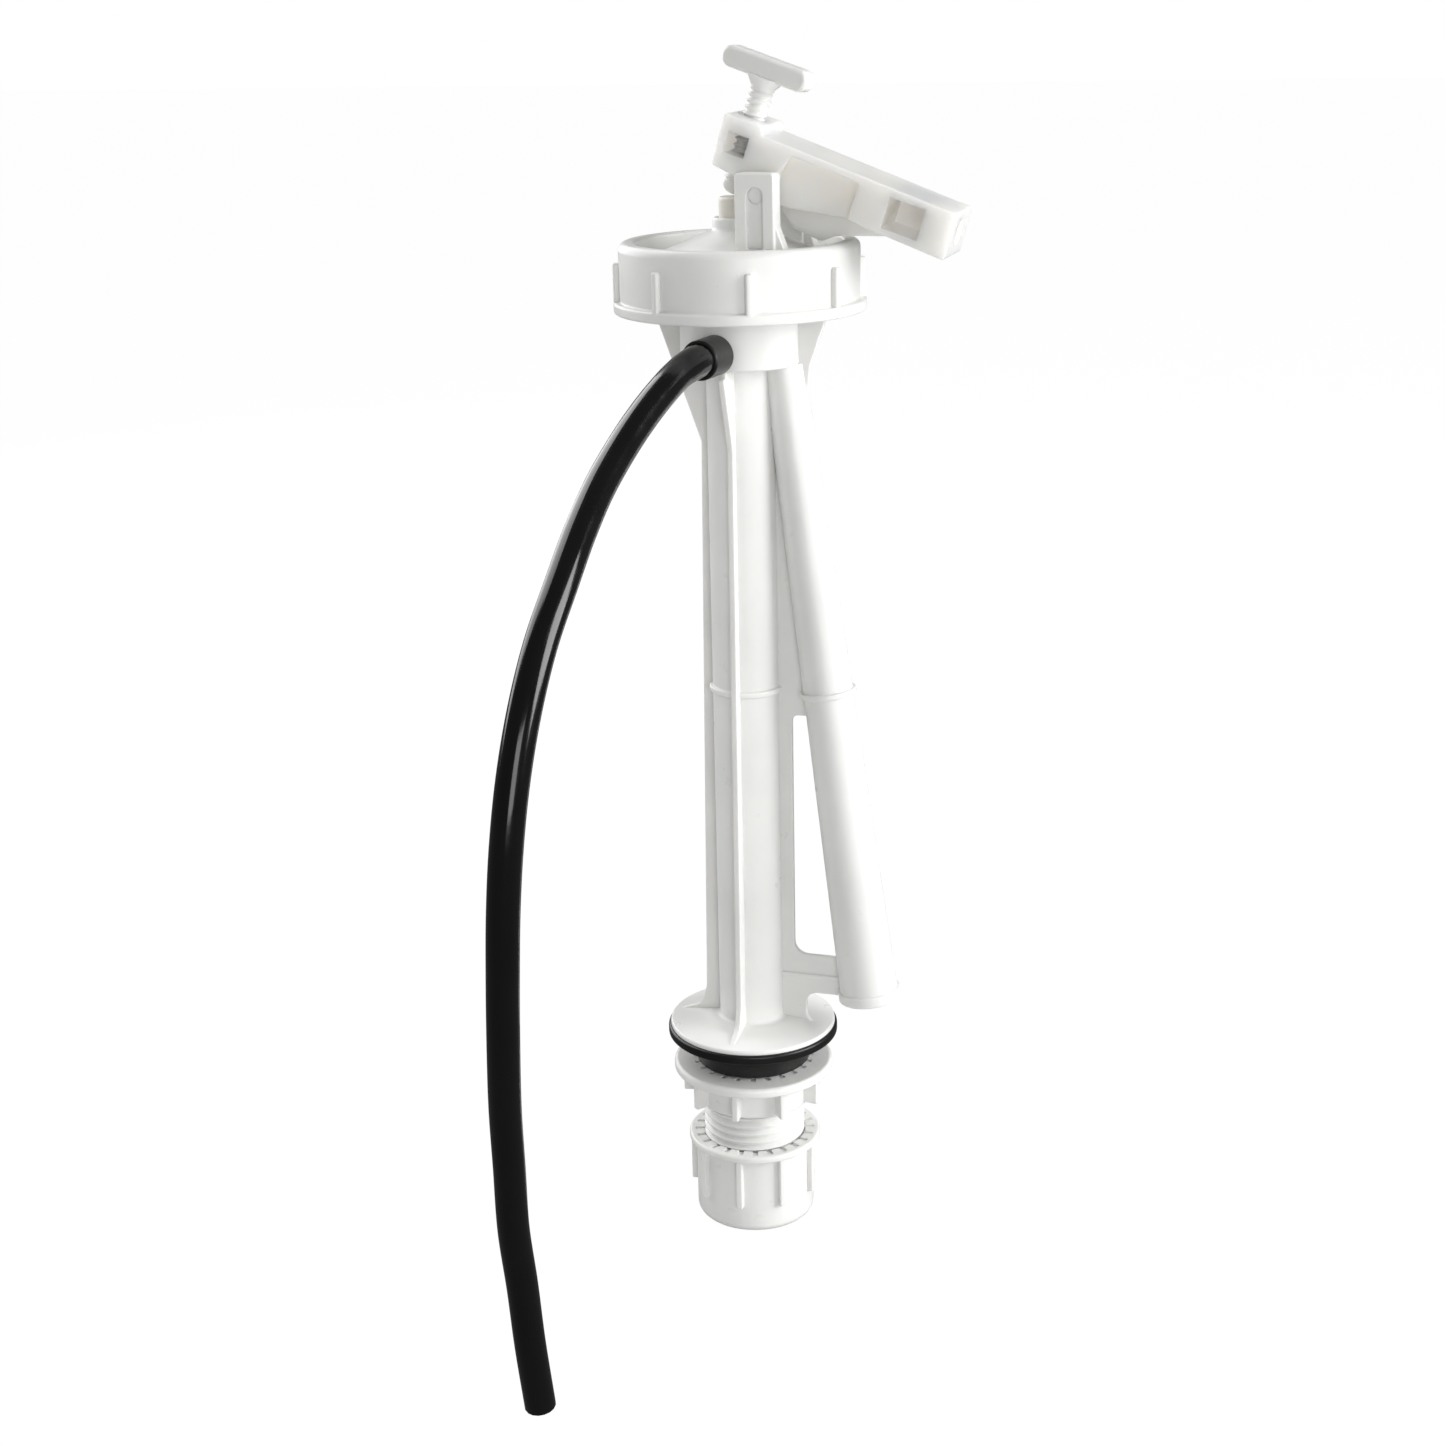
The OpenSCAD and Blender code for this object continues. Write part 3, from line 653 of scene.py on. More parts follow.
@dataclass
class SubAssembly:
    """A group of pieces that ride on the valve's bodies."""

    finishes: Finishes

    def finish(self, piece: bpy.types.Object, name: str, body: str, finish: Plastic, slot: str,
               *nodes: str) -> None:
        """Name, dress and mount a finished piece.

        Args:
            piece: The piece.
            name: Its name.
            body: The body it rides on.
            finish: Its finish.
            slot: The material slot it stands for; not used.
            *nodes: The CAD nodes it replaces.
        """
        piece.name = name
        smooth(piece)
        piece.data.materials.clear()
        piece.data.materials.append(self.finishes.get(finish))
        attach(piece, body)
        if nodes:
            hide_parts(*nodes)
        LOG.info("%s: %d faces on %s", name, len(piece.data.polygons), body)

    def dress(self, finish: Plastic, *nodes: str) -> None:
        """Give CAD nodes a finish.

        Args:
            finish: The finish.
            *nodes: The nodes, whose meshes stay as they are.
        """
        for node in nodes:
            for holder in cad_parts[node].material_slots:
                holder.material = self.finishes.get(finish)
            LOG.info("%s: dressed", node)


# Camera, lights and floor


@dataclass(frozen=True)
class Camera:
    """Camera on a stand, looking a little down; lengths in mm, angles in degrees."""

    reach: float = 451.6
    height: float = 217.5
    azimuth: float = 17.0
    pitch: float = 17.99
    yaw: float = 0.67
    roll: float = 1.23
    lens: float = 56.3
    sensor: float = 36.0

    def build(self) -> None:
        """Make the camera and set it as the scene's."""
        deselect()
        bpy.ops.object.camera_add()
        camera = bpy.context.object
        camera.name = "camera"
        camera.data.sensor_width = self.sensor
        camera.data.lens = self.lens
        camera.data.clip_start = 0.01
        side = math.radians(self.azimuth)
        heading = math.radians(self.azimuth + self.yaw)
        spot = Vector((math.sin(side), -math.cos(side), 0)) * self.reach + Vector((0, 0, self.height))
        tilt = Matrix.Rotation(math.radians(90 - self.pitch), 4, "X")
        camera.matrix_world = (Matrix.Translation(spot * MM) @ Matrix.Rotation(heading, 4, "Z") @ tilt
                               @ Matrix.Rotation(math.radians(-self.roll), 4, "Z"))
        bpy.context.scene.camera = camera


@dataclass(frozen=True)
class Lamp:
    """Soft box: a square area light aimed at a point; lengths in metres."""

    name: str
    spot: Point3
    size: float
    watts: float
    aim: Point3 = (0.0, 0.0, 0.09)
    colour: str = "FFFFFF"

    def build(self) -> None:
        """Make the lamp."""
        deselect()
        bpy.ops.object.light_add(type="AREA", location=self.spot)
        lamp = bpy.context.object
        lamp.name = self.name
        lamp.rotation_euler = (Vector(self.aim) - Vector(self.spot)).to_track_quat("-Z", "Y").to_euler()
        lamp.data.size = self.size
        lamp.data.energy = self.watts
        lamp.data.color = linear(self.colour)[:3]


@dataclass(frozen=True)
class Studio:
    """White studio: a pale floor, a white surround and soft boxes."""

    lamps: tuple[Lamp, ...] = (
        Lamp("key_softbox", (0.95, 0.0, 0.42), 0.7, 12.0),
        Lamp("front_softbox", (0.5, -1.0, 0.2), 0.5, 3.4),
        Lamp("side_softbox", (-0.65, 0.3, 0.5), 0.9, 7.5, (0.0, 0.0, 0.15)),
    )
    ambient: float = 0.32
    mirrored: float = 0.12
    floor_mm: float = 12000.0
    floor_drop: float = 0.2
    shadow: float = 0.06
    paper: str = "C8C8C8"
    glow: float = 1.04

    def surround(self) -> None:
        """World: white where it is seen, dimmer where it lights or is mirrored."""
        world = bpy.data.worlds.new("white_surround")
        bpy.context.scene.world = world
        g = Graph(world)
        path = g.add("LightPath").outputs
        seen = g.add("Math", {0: path["Is Camera Ray"], 1: path["Is Transmission Ray"]},
                     operation="MAXIMUM")
        unseen = g.add("MapRange", {"Value": path["Is Glossy Ray"], "To Min": self.ambient,
                                    "To Max": self.mirrored})
        level = g.add("MapRange", {"Value": seen.outputs[0], "To Min": unseen.outputs["Result"],
                                   "To Max": 1.0})
        back = g.add("Background", {"Color": (1, 1, 1, 1), "Strength": level.outputs["Result"]})
        g.add("OutputWorld", {"Surface": back.outputs[0]})

    def floor(self) -> None:
        """Pale floor that is seen as white, with a faint shadow."""
        deselect()
        bpy.ops.mesh.primitive_plane_add(size=self.floor_mm * MM,
                                         location=(0, 0, CAD_BOX[0][2] - self.floor_drop * MM))
        floor = bpy.context.object
        floor.name = "floor"
        g = Graph(bpy.data.materials.new("matt_white_paper"))
        seen = g.add("LightPath").outputs["Is Camera Ray"]
        paper = g.add("BsdfDiffuse", {"Color": linear(self.paper)})
        glow = g.add("Emission", {"Color": (1, 1, 1, 1), "Strength": self.glow})
        keep = g.add("Math", {0: seen, 1: 1 - self.shadow}, operation="MULTIPLY")
        mixed = g.add("MixShader", {0: keep.outputs[0], 1: paper.outputs[0], 2: glow.outputs[0]})
        g.add("OutputMaterial", {"Surface": mixed.outputs[0]})
        floor.data.materials.append(g.owner)
        floor.visible_glossy = False

    def build(self) -> None:
        """Make the floor, the surround and the lamps."""
        self.surround()
        self.floor()
        for lamp in self.lamps:
            lamp.build()
        bpy.context.scene.view_settings.view_transform = "Standard"


# The valve, lengths in mm


@dataclass
class RefillLine(SubAssembly):
    """Nozzle on the cup, its sleeve, and the refill tube."""

    nozzle_turn: float = 7.0
    nozzle_z: float = 149.7
    near: float = 12.2
    far: float = 20.0
    sleeve_r: float = 3.9
    sleeve_bore_r: float = 2.05
    grip: float = 1.2
    tube_r: float = 3.0
    bore_r: float = 1.9
    bore_deep: float = 9.0
    end_round: float = 0.3
    flare: float = 0.12
    flare_len: float = 9.0
    route: tuple[Point3, ...] = (
        (-3, -24.5, 149.4), (-3.8, -29, 148.4), (-4.7, -34, 146.6), (-6, -41, 143.5),
        (-7.2, -50, 139.2), (-8, -61, 133.7), (-8, -72, 127.7), (-8, -82, 120.7),
        (-9, -90, 112.2), (-10, -96, 102.2), (-11, -100, 91.2), (-12, -102, 79.7),
        (-13, -102.5, 67.7), (-14, -102, 54.7), (-15, -101, 41.7), (-16, -99.5, 28.7),
        (-16.5, -98, 15.7), (-17, -96.5, 2.7), (-16.5, -95, -10.3), (-16, -94, -23.3),
        (-15, -93, -37.3))

    def centreline(self, steps: int = 8) -> list[Vector]:
        """Smooth line through the route, in metres.

        Args:
            steps: Points on each stretch.

        Returns:
            The points, from the sleeve to the free end.
        """
        side = math.radians(self.nozzle_turn)
        way = Vector((-math.sin(side), -math.cos(side), 0))
        stops = [way * self.far + Vector((0, 0, self.nozzle_z)), *map(Vector, self.route)]
        stops = [stops[0] - way * 4, *stops, 2 * stops[-1] - stops[-2]]
        line = []
        for a, b, c, d in zip(stops, stops[1:], stops[2:], stops[3:]):
            for k in range(steps):
                t = k / steps
                line.append(0.5 * (2 * b + (c - a) * t + (2 * a - 5 * b + 4 * c - d) * t * t
                                   + (3 * b - a - 3 * c + d) * t ** 3) * MM)
        return [*line, stops[-2] * MM]

    @staticmethod
    def choose_end(piece: bpy.types.Object) -> Vector:
        """Go into edit mode with the face of the tube's free end selected.

        Args:
            piece: The tube, in object mode, with nothing selected.

        Returns:
            The way that the end faces.
        """
        end = min((f for f in piece.data.polygons if len(f.vertices) > 4), key=lambda f: f.center.z)
        end.select = True
        way = Vector(end.normal)
        bpy.ops.object.mode_set(mode="EDIT")
        return way

    def tube(self) -> None:
        """Refill tube, open at its free end."""
        line = self.centreline()
        data = bpy.data.curves.new("refill_tube_line", "CURVE")
        data.dimensions = "3D"
        data.bevel_depth = self.tube_r * MM
        data.bevel_resolution = 6
        data.use_fill_caps = True
        spline = data.splines.new("POLY")
        spline.points.add(len(line) - 1)
        for point, spot in zip(spline.points, line):
            point.co = (*spot, 1)
            along = (spot - line[0]).length / (self.flare_len * MM)
            point.radius = 1 + self.flare * max(0.0, 1 - along)
        piece = bpy.data.objects.new("refill_tube_black", data)
        bpy.context.scene.collection.objects.link(piece)
        pick(piece)
        bpy.ops.object.convert(target="MESH")
        piece = bpy.context.object
        edit(piece)
        bpy.ops.mesh.select_all(action="SELECT")
        bpy.ops.mesh.remove_doubles(threshold=1e-6)
        bpy.ops.mesh.select_mode(type="FACE")
        bpy.ops.mesh.select_face_by_sides(number=3, extend=False)
        bpy.ops.mesh.delete(type="FACE")
        bpy.ops.mesh.select_all(action="SELECT")
        bpy.ops.mesh.fill_holes(sides=0)
        bpy.ops.mesh.select_all(action="SELECT")
        bpy.ops.mesh.normals_make_consistent(inside=False)
        bpy.ops.mesh.select_all(action="DESELECT")
        done()
        self.choose_end(piece)
        bpy.ops.mesh.bevel(offset=self.end_round * MM, segments=2, affect="EDGES")
        bpy.ops.mesh.select_all(action="DESELECT")
        done()
        way = self.choose_end(piece)
        bpy.ops.mesh.inset(thickness=(self.tube_r - self.bore_r - self.end_round) * MM)
        bpy.ops.mesh.extrude_region_move(TRANSFORM_OT_translate={"value": -way * self.bore_deep * MM})
        bpy.ops.mesh.select_mode(type="VERT")
        done()
        self.finish(piece, "refill_tube_black", "body", VINYL, "black_tube", "refill_tube")

    def sleeve(self) -> None:
        """Rubber sleeve that grips the tube on the nozzle, with a rolled rim."""
        r, bore, rim, stop = self.sleeve_r, self.sleeve_bore_r, self.tube_r + 0.1, self.far - self.grip
        outline = soft([(bore, self.near, 0), (r, self.near, 0.2), (r, self.far, 0.5),
                        (rim, self.far, 0.2), (rim, stop, 0), (bore, stop, 0)], closed=True)
        piece = place(turned("sleeve", outline, 64), 90, "X")
        place(piece, -self.nozzle_turn, "Z", (0, 0, self.nozzle_z))
        self.finish(piece, "tube_sleeve", "body", RUBBER, "black_rubber", "hose_sleeve")

    def build(self) -> None:
        """Make the tube and the sleeve, and dress the parts inside them."""
        self.tube()
        self.sleeve()
        self.dress(ACETAL, "refill_spigot")
        self.dress(POLYETHYLENE, "flow_restrictor")


@dataclass
class Standpipe(SubAssembly):
    """Standpipe, fins, discharge tube and bottom flange."""

    head_z: float = field(default_factory=lambda: low_z("valve_head"))
    plate_z: float = 157.2
    flange_z: float = 2.2
    flange_r: float = 17.95
    flange_t: float = 1.0
    crown_h: float = 1.2
    crown_r: float = 9.0
    pipe_r: float = 7.1
    bore_r: float = 5.2
    bead_z: float = 78.3
    bead_h: float = 1.2
    bead_out: float = 0.7
    fin_t: float = 1.3
    fin_root: float = 1.4
    fin_top_r: float = 8.6
    fin_low_r: float = 10.3
    foot_r: float = 16.6
    gusset_r: float = 18.4
    gusset_drop: float = 16.0
    cup_r: float = 12.1
    overlap: float = 0.4
    slot_x: float = 9.8
    outlet_x: float = 26.4
    outlet_z: float = 10.7
    drop_low_r: float = 6.2
    drop_top_r: float = 4.1
    drop_top_x: float = 9.0
    mouth_r: float = 4.7
    narrow_r: float = 2.8

    @property
    def lean(self) -> float:
        """Lean of the discharge tube, in degrees."""
        return math.degrees(math.atan2(self.outlet_x - self.drop_top_x, self.drop_rise))

    @property
    def drop_rise(self) -> float:
        """Height of the discharge tube."""
        return self.head_z - 1.6 - self.outlet_z

    @property
    def drop_len(self) -> float:
        """Length of the discharge tube along its axis."""
        return math.hypot(self.drop_rise, self.outlet_x - self.drop_top_x)

    def gusset_at(self, z: float) -> float:
        """Radius over a gusset at a height."""
        foot = self.head_z - self.gusset_drop
        return self.fin_top_r + (self.gusset_r - self.fin_top_r) * (z - foot) / (self.plate_z - foot)

    def pipe(self) -> bpy.types.Object:
        """Flange, crown and pipe, turned in one.

        Returns:
            The solid, at the origin.
        """
        top = self.flange_z + self.flange_t
        r, bead = self.pipe_r, self.pipe_r + self.bead_out
        return turned("pipe", soft([
            (0, self.flange_z, 0), (self.flange_r, self.flange_z, 0.25), (self.flange_r, top, 0.7),
            (self.crown_r, top + self.crown_h, 2.0), (r, top + self.crown_h, 1.6),
            (r, self.bead_z, 0.3), (bead, self.bead_z, 0.3), (bead, self.bead_z + self.bead_h, 0.3),
            (r, self.bead_z + self.bead_h, 0.3), (r, self.head_z, 0), (0, self.head_z, 0)]))

    def fin(self, turn: float, under_cup: bool) -> bpy.types.Object:
        """Fin down one side of the pipe, with its gusset and its flared foot.

        Args:
            turn: Its direction, in degrees from the arm.
            under_cup: Whether its gusset runs on up beside the cup.

        Returns:
            The fin.
        """
        inner, top = self.pipe_r - self.fin_root, self.flange_z + self.flange_t
        if under_cup:
            high = self.plate_z + self.overlap
            head = [(self.cup_r - 0.7, self.head_z, 0), (self.cup_r - 0.7, high, 0),
                    (self.gusset_r, high, 0)]
        else:
            head = [(self.cup_r, self.head_z, 0), (self.cup_r + 0.3, self.head_z - 1.1, 0.3),
                    (self.gusset_at(self.head_z) - 0.6, self.head_z - 1.2, 0.4)]
        outline = soft([
            (inner, top - 1, 0), (inner, self.head_z, 0), *head,
            (self.fin_top_r, self.head_z - self.gusset_drop, 3.0),
            (self.fin_low_r, top + 6.2, 6.0), (self.fin_low_r + 1.2, top + 1.8, 3.0),
            (self.foot_r, top + 0.1, 2.0), (self.foot_r, top - 1, 0)], steps=6, closed=True)[:-1]
        return place(plate("fin", outline, self.fin_t, 0.28), turn)

    def web(self) -> bpy.types.Object:
        """Web between pipe and discharge tube, open along its middle.

        Returns:
            The web, in its place.
        """
        inner, top = self.pipe_r - self.fin_root, self.flange_z + self.flange_t
        slot_low, slot_top = self.outlet_z + 8.6, self.bead_z - 5
        outline = soft([
            (inner, top - 1, 0), (16.0, top - 1, 0), (16.0, top + 0.15, 1.5), (12.4, top + 0.8, 3.5),
            (12.4, self.outlet_z - 0.2, 2.4), (24.2, self.outlet_z - 0.2, 0), (25.0, slot_low, 0),
            (self.slot_x, slot_low, 2.8), (self.slot_x, slot_top, 1.4), (18.4, slot_top, 0),
            (self.drop_top_x + 1, self.head_z - 2, 0), (self.drop_top_x + 1, self.head_z, 0),
            (inner, self.head_z, 0)], steps=5, closed=True)[:-1]
        return plate("web", outline, self.fin_t, 0.25)

    def outlet_gusset(self) -> bpy.types.Object:
        """Gusset from the discharge tube up to the head plate.

        Returns:
            The gusset, in its place.
        """
        edge, high = self.drop_top_x + self.drop_top_r + 0.7, self.plate_z + self.overlap
        return plate("outlet_gusset", soft([
            (self.drop_top_x, self.head_z - 5, 0), (edge, self.head_z - 5.6, 0),
            (self.gusset_at(self.head_z), self.head_z, 3), (self.gusset_r, high, 0),
            (self.cup_r - 0.7, high, 0), (self.cup_r - 0.7, self.head_z, 0),
            (self.drop_top_x, self.head_z, 0)], closed=True)[:-1], self.fin_t, 0.28)

    def discharge(self) -> bpy.types.Object:
        """Discharge tube with its bead and lip, leaning to its place.

        Returns:
            The tube, still solid.
        """
        along = (self.bead_z - self.outlet_z) / math.cos(math.radians(self.lean))
        slope = (self.drop_top_r - self.drop_low_r) / (self.drop_len + 3)
        mid, lip = self.drop_low_r + slope * along, self.drop_low_r + 0.45
        piece = turned("discharge", soft([
            (0, 0, 0), (lip, 0, 0.4), (lip, 2.4, 0.4), (self.drop_low_r + slope * 2.4, 2.4, 0.2),
            (mid, along, 0.25), (mid + self.bead_out, along, 0.3),
            (mid + self.bead_out, along + self.bead_h, 0.3), (mid, along + self.bead_h, 0.25),
            (self.drop_top_r, self.drop_len + 1.5, 0), (0, self.drop_len + 1.5, 0)]))
        return place(piece, -self.lean, "Y", (self.outlet_x, 0, self.outlet_z))

    def water_ways(self) -> list[bpy.types.Object]:
        """Bores of the pipe and of the discharge tube.

        Returns:
            The solids to take away.
        """
        inlet = rod("inlet_bore", self.bore_r, -1, self.head_z + 1)
        outlet = turned("outlet_bore", [
            (0, -1), (self.mouth_r + 0.5, -1), (self.mouth_r + 0.5, 0), (self.mouth_r, 0.6),
            (self.mouth_r, 12), (self.mouth_r - 0.1, 12), (self.narrow_r, self.drop_len - 14),
            (0, self.drop_len - 14)], 64)
        return [inlet, place(outlet, -self.lean, "Y", (self.outlet_x, 0, self.outlet_z))]

    def build(self) -> None:
        """Join the moulding, bore it and add its finish."""
        half = self.fin_t / 2 + 0.5
        stiffener = block("stiffener", (6.3, -half, self.outlet_z + 3.4),
                          (22.4, half, self.outlet_z + 4.3), 0.3)
        piece = weld(self.pipe(), self.discharge(), self.web(), self.outlet_gusset(), stiffener,
                     self.fin(90, True), self.fin(180, True), self.fin(270, False))
        cut(piece, *self.water_ways())
        self.finish(piece, "standpipe_moulding", "body", ACETAL, "white_plastic", "valve_body")


@dataclass
class Head(SubAssembly):
    """Cup, head plate and threaded ring."""

    low: float = field(default_factory=lambda: low_z("valve_head"))
    top: float = field(default_factory=lambda: top_z("valve_head"))
    bore_r: float = 5.2
    tower_r: float = 6.9
    cup_r: float = 12.1
    cup_in_r: float = 10.7
    ring_r: float = 21.95
    ring_in_r: float = 19.45
    plate_rise: float = 10.9
    plate_t: float = 2.5
    floor_t: float = 2.4
    air_r: float = 1.1
    air_ring_r: float = 15.6
    air_holes: int = 8
    nozzle_z: float = 149.7
    nozzle_turn: float = 7.0
    nozzle_r: float = 2.02

    def build(self) -> None:
        """Turn the head and drill its air holes and its nozzle hole."""
        plate_z = self.low + self.plate_rise
        plate_top = plate_z + self.plate_t
        deep = self.low + self.floor_t
        piece = turned("head", soft([
            (self.bore_r, self.low, 0), (self.cup_r, self.low, 0.5), (self.cup_r, plate_z, 0.8),
            (self.ring_r, plate_z, 0.3), (self.ring_r, self.top, 0.3), (self.ring_in_r, self.top, 0.3),
            (self.ring_in_r, plate_top, 0.4), (self.cup_in_r, plate_top, 0.4), (self.cup_in_r, deep, 0.6),
            (self.tower_r, deep, 0.6), (self.tower_r, plate_top - 0.6, 0.3),
            (self.bore_r, plate_top - 0.6, 0)], closed=True))
        hole = place(rod("air_hole", self.air_r, plate_z - 1, plate_top + 1, steps=24),
                     to=(self.air_ring_r, 0, 0))
        cut(piece, around(hole, self.air_holes, 180 / self.air_holes))
        nozzle = place(rod("nozzle_hole", self.nozzle_r, 9, 14, steps=32), 90, "X")
        cut(piece, place(nozzle, -self.nozzle_turn, "Z", (0, 0, self.nozzle_z)))
        self.finish(piece, "head_moulding", "body", ACETAL, "white_plastic", "valve_head")
        self.dress(IVORY, "valve_seat", "diaphragm_disc")
        self.dress(RUBBER, "seat_o_ring", "air_flap_ring", "diaphragm", "plunger_o_ring")


@dataclass
class CapNut(SubAssembly):
    """Ribbed union nut over the cover."""

    low: float = field(default_factory=lambda: low_z("cap_nut"))
    top: float = field(default_factory=lambda: top_z("cap_nut"))
    bore_r: float = 22.01
    wall_r: float = 23.86
    grip_r: float = 25.06
    open_r: float = 20.5
    lip_h: float = 3.9
    rim_h: float = 2.2
    ribs: int = 8
    rib_w: float = 1.5
    phase: float = 21.0

    def build(self) -> None:
        """Turn the nut and set its ribs round it."""
        step = self.low + self.rim_h
        piece = turned("cap", soft([
            (self.bore_r, self.low, 0.3), (self.grip_r, self.low, 0.5), (self.grip_r, step, 0.5),
            (self.wall_r, step, 0.4), (self.wall_r, self.top, 2.6), (self.open_r, self.top, 0.7),
            (self.open_r, self.top - self.lip_h, 0.2), (self.bore_r, self.top - self.lip_h, 0)],
            steps=7, closed=True), 128)
        rib = block("rib", (self.wall_r - 0.8, -self.rib_w / 2, self.low + 0.6),
                    (self.grip_r - 0.02, self.rib_w / 2, self.top - self.lip_h), 0.45)
        weld(piece, around(rib, self.ribs, self.phase))
        self.finish(piece, "cap_union_nut", "cap", ACETAL, "white_plastic", "cap_nut")


@dataclass
class Cover(SubAssembly):
    """Coned cover with the two posts, the pivot pin and the plunger."""

    low: float = field(default_factory=lambda: low_z("head_cover"))
    rim_t: float = 2.4
    rim_r: float = 21.7
    foot_r: float = 20.0
    cone_h: float = 6.0
    boss_h: float = 2.4
    boss_r: float = 5.1
    bore_r: float = 3.96
    pivot_x: float = 6.9
    pivot_z: float = 180.0
    post_w: float = 7.9
    post_in: float = 7.9
    post_t: float = 4.6
    channel_w: float = 3.4
    channel_deep: float = 1.0
    pin_r: float = 1.5
    pin_play: float = 0.02
    pin_short: float = 0.1
    tail_r: float = 2.0
    groove: float = 0.84
    groove_w: float = 1.2

    def shell(self) -> bpy.types.Object:
        """Cone with its rim and its boss.

        Returns:
            The solid, with its bore.
        """
        top = self.low + self.rim_t
        cone = top + self.cone_h
        return turned("shell", soft([
            (self.bore_r, cone + self.boss_h, 0.3), (self.bore_r, cone - 2.2, 0), (6.1, cone - 2.2, 0.5),
            (19.1, self.low, 0), (self.rim_r, self.low, 0), (self.rim_r, top, 0.3), (self.foot_r, top, 1.5),
            (self.boss_r, cone, 0.8), (self.boss_r, cone + self.boss_h, 0.5)], closed=True))

    def post(self, side: int) -> bpy.types.Object:
        """One post, with an arched channel on its outer face and a gusset at its foot.

        Args:
            side: 1 or -1, the side of the arm it stands on.

        Returns:
            The post.
        """
        x, top = self.pivot_x, self.low + self.rim_t
        half, high = self.post_w / 2, self.pivot_z + 4.2
        mid = side * (self.post_in + self.post_t / 2)
        post = plate("post", soft([
            (x - half, top - 0.6, 0), (x + half, top - 0.6, 0), (x + half, high, 0.8),
            (x - half, high, 0.8)], closed=True)[:-1], self.post_t, 0.4, mid)
        gusset = plate("gusset", [
            (x + half - 1, top - 0.6), (x + half + 2.9, top - 0.6), (x + half + 2.9, top + 0.2),
            (x + half, top + 8), (x + half - 1, top + 8)], self.post_t - 1.4, 0.3, mid)
        w = self.channel_w / 2
        channel = plate("channel", soft([
            (x - w, top + 3.4, 0.5), (x + w, top + 3.4, 0.5), (x + w, self.pivot_z + w, w),
            (x - w, self.pivot_z + w, w)], steps=8, closed=True)[:-1], 2 * self.channel_deep, 0.25,
            side * (self.post_in + self.post_t))
        return cut(weld(post, gusset), channel)

    def pin(self) -> None:
        """Pivot pin, which ends just inside the channels of the posts."""
        reach = self.post_in + self.post_t - self.channel_deep - self.pin_short
        pin = rod("pin", self.pin_r, -reach, reach, 0.06)
        place(pin, 90, "X", (self.pivot_x, 0, self.pivot_z))
        self.finish(pin, "pivot_pin_turned", "body", ACETAL, "white_plastic", "pivot_pin")

    def plunger(self) -> None:
        """Plunger, with the groove of its seal and a thin tail below."""
        low, high = low_z("plunger"), top_z("plunger")
        r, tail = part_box("plunger")[1].x / MM, self.tail_r
        shaft, half = self.low + self.rim_t + self.cone_h, self.groove_w / 2
        piece = turned("plunger", soft([
            (0, low, 0), (tail, low, 0.2), (tail, shaft - 2.2, 0), (r, shaft - 2.2, 0.2),
            (r, shaft - half, 0.1), (r - self.groove, shaft - half, 0),
            (r - self.groove, shaft + half, 0), (r, shaft + half, 0.1), (r, high, 0.6),
            (0, high, 0)]), 64)
        self.finish(piece, "plunger_pin", "plunger", IVORY, "ivory_plastic", "plunger")

    def build(self) -> None:
        """Make the cover, the pin and the plunger."""
        piece = weld(self.shell(), self.post(-1), self.post(1))
        bore = rod("pin_bore", self.pin_r + self.pin_play, -20, 20)
        cut(piece, place(bore, 90, "X", (self.pivot_x, 0, self.pivot_z)))
        self.finish(piece, "cover_moulding", "body", ACETAL, "white_plastic", "head_cover")
        self.pin()
        self.plunger()


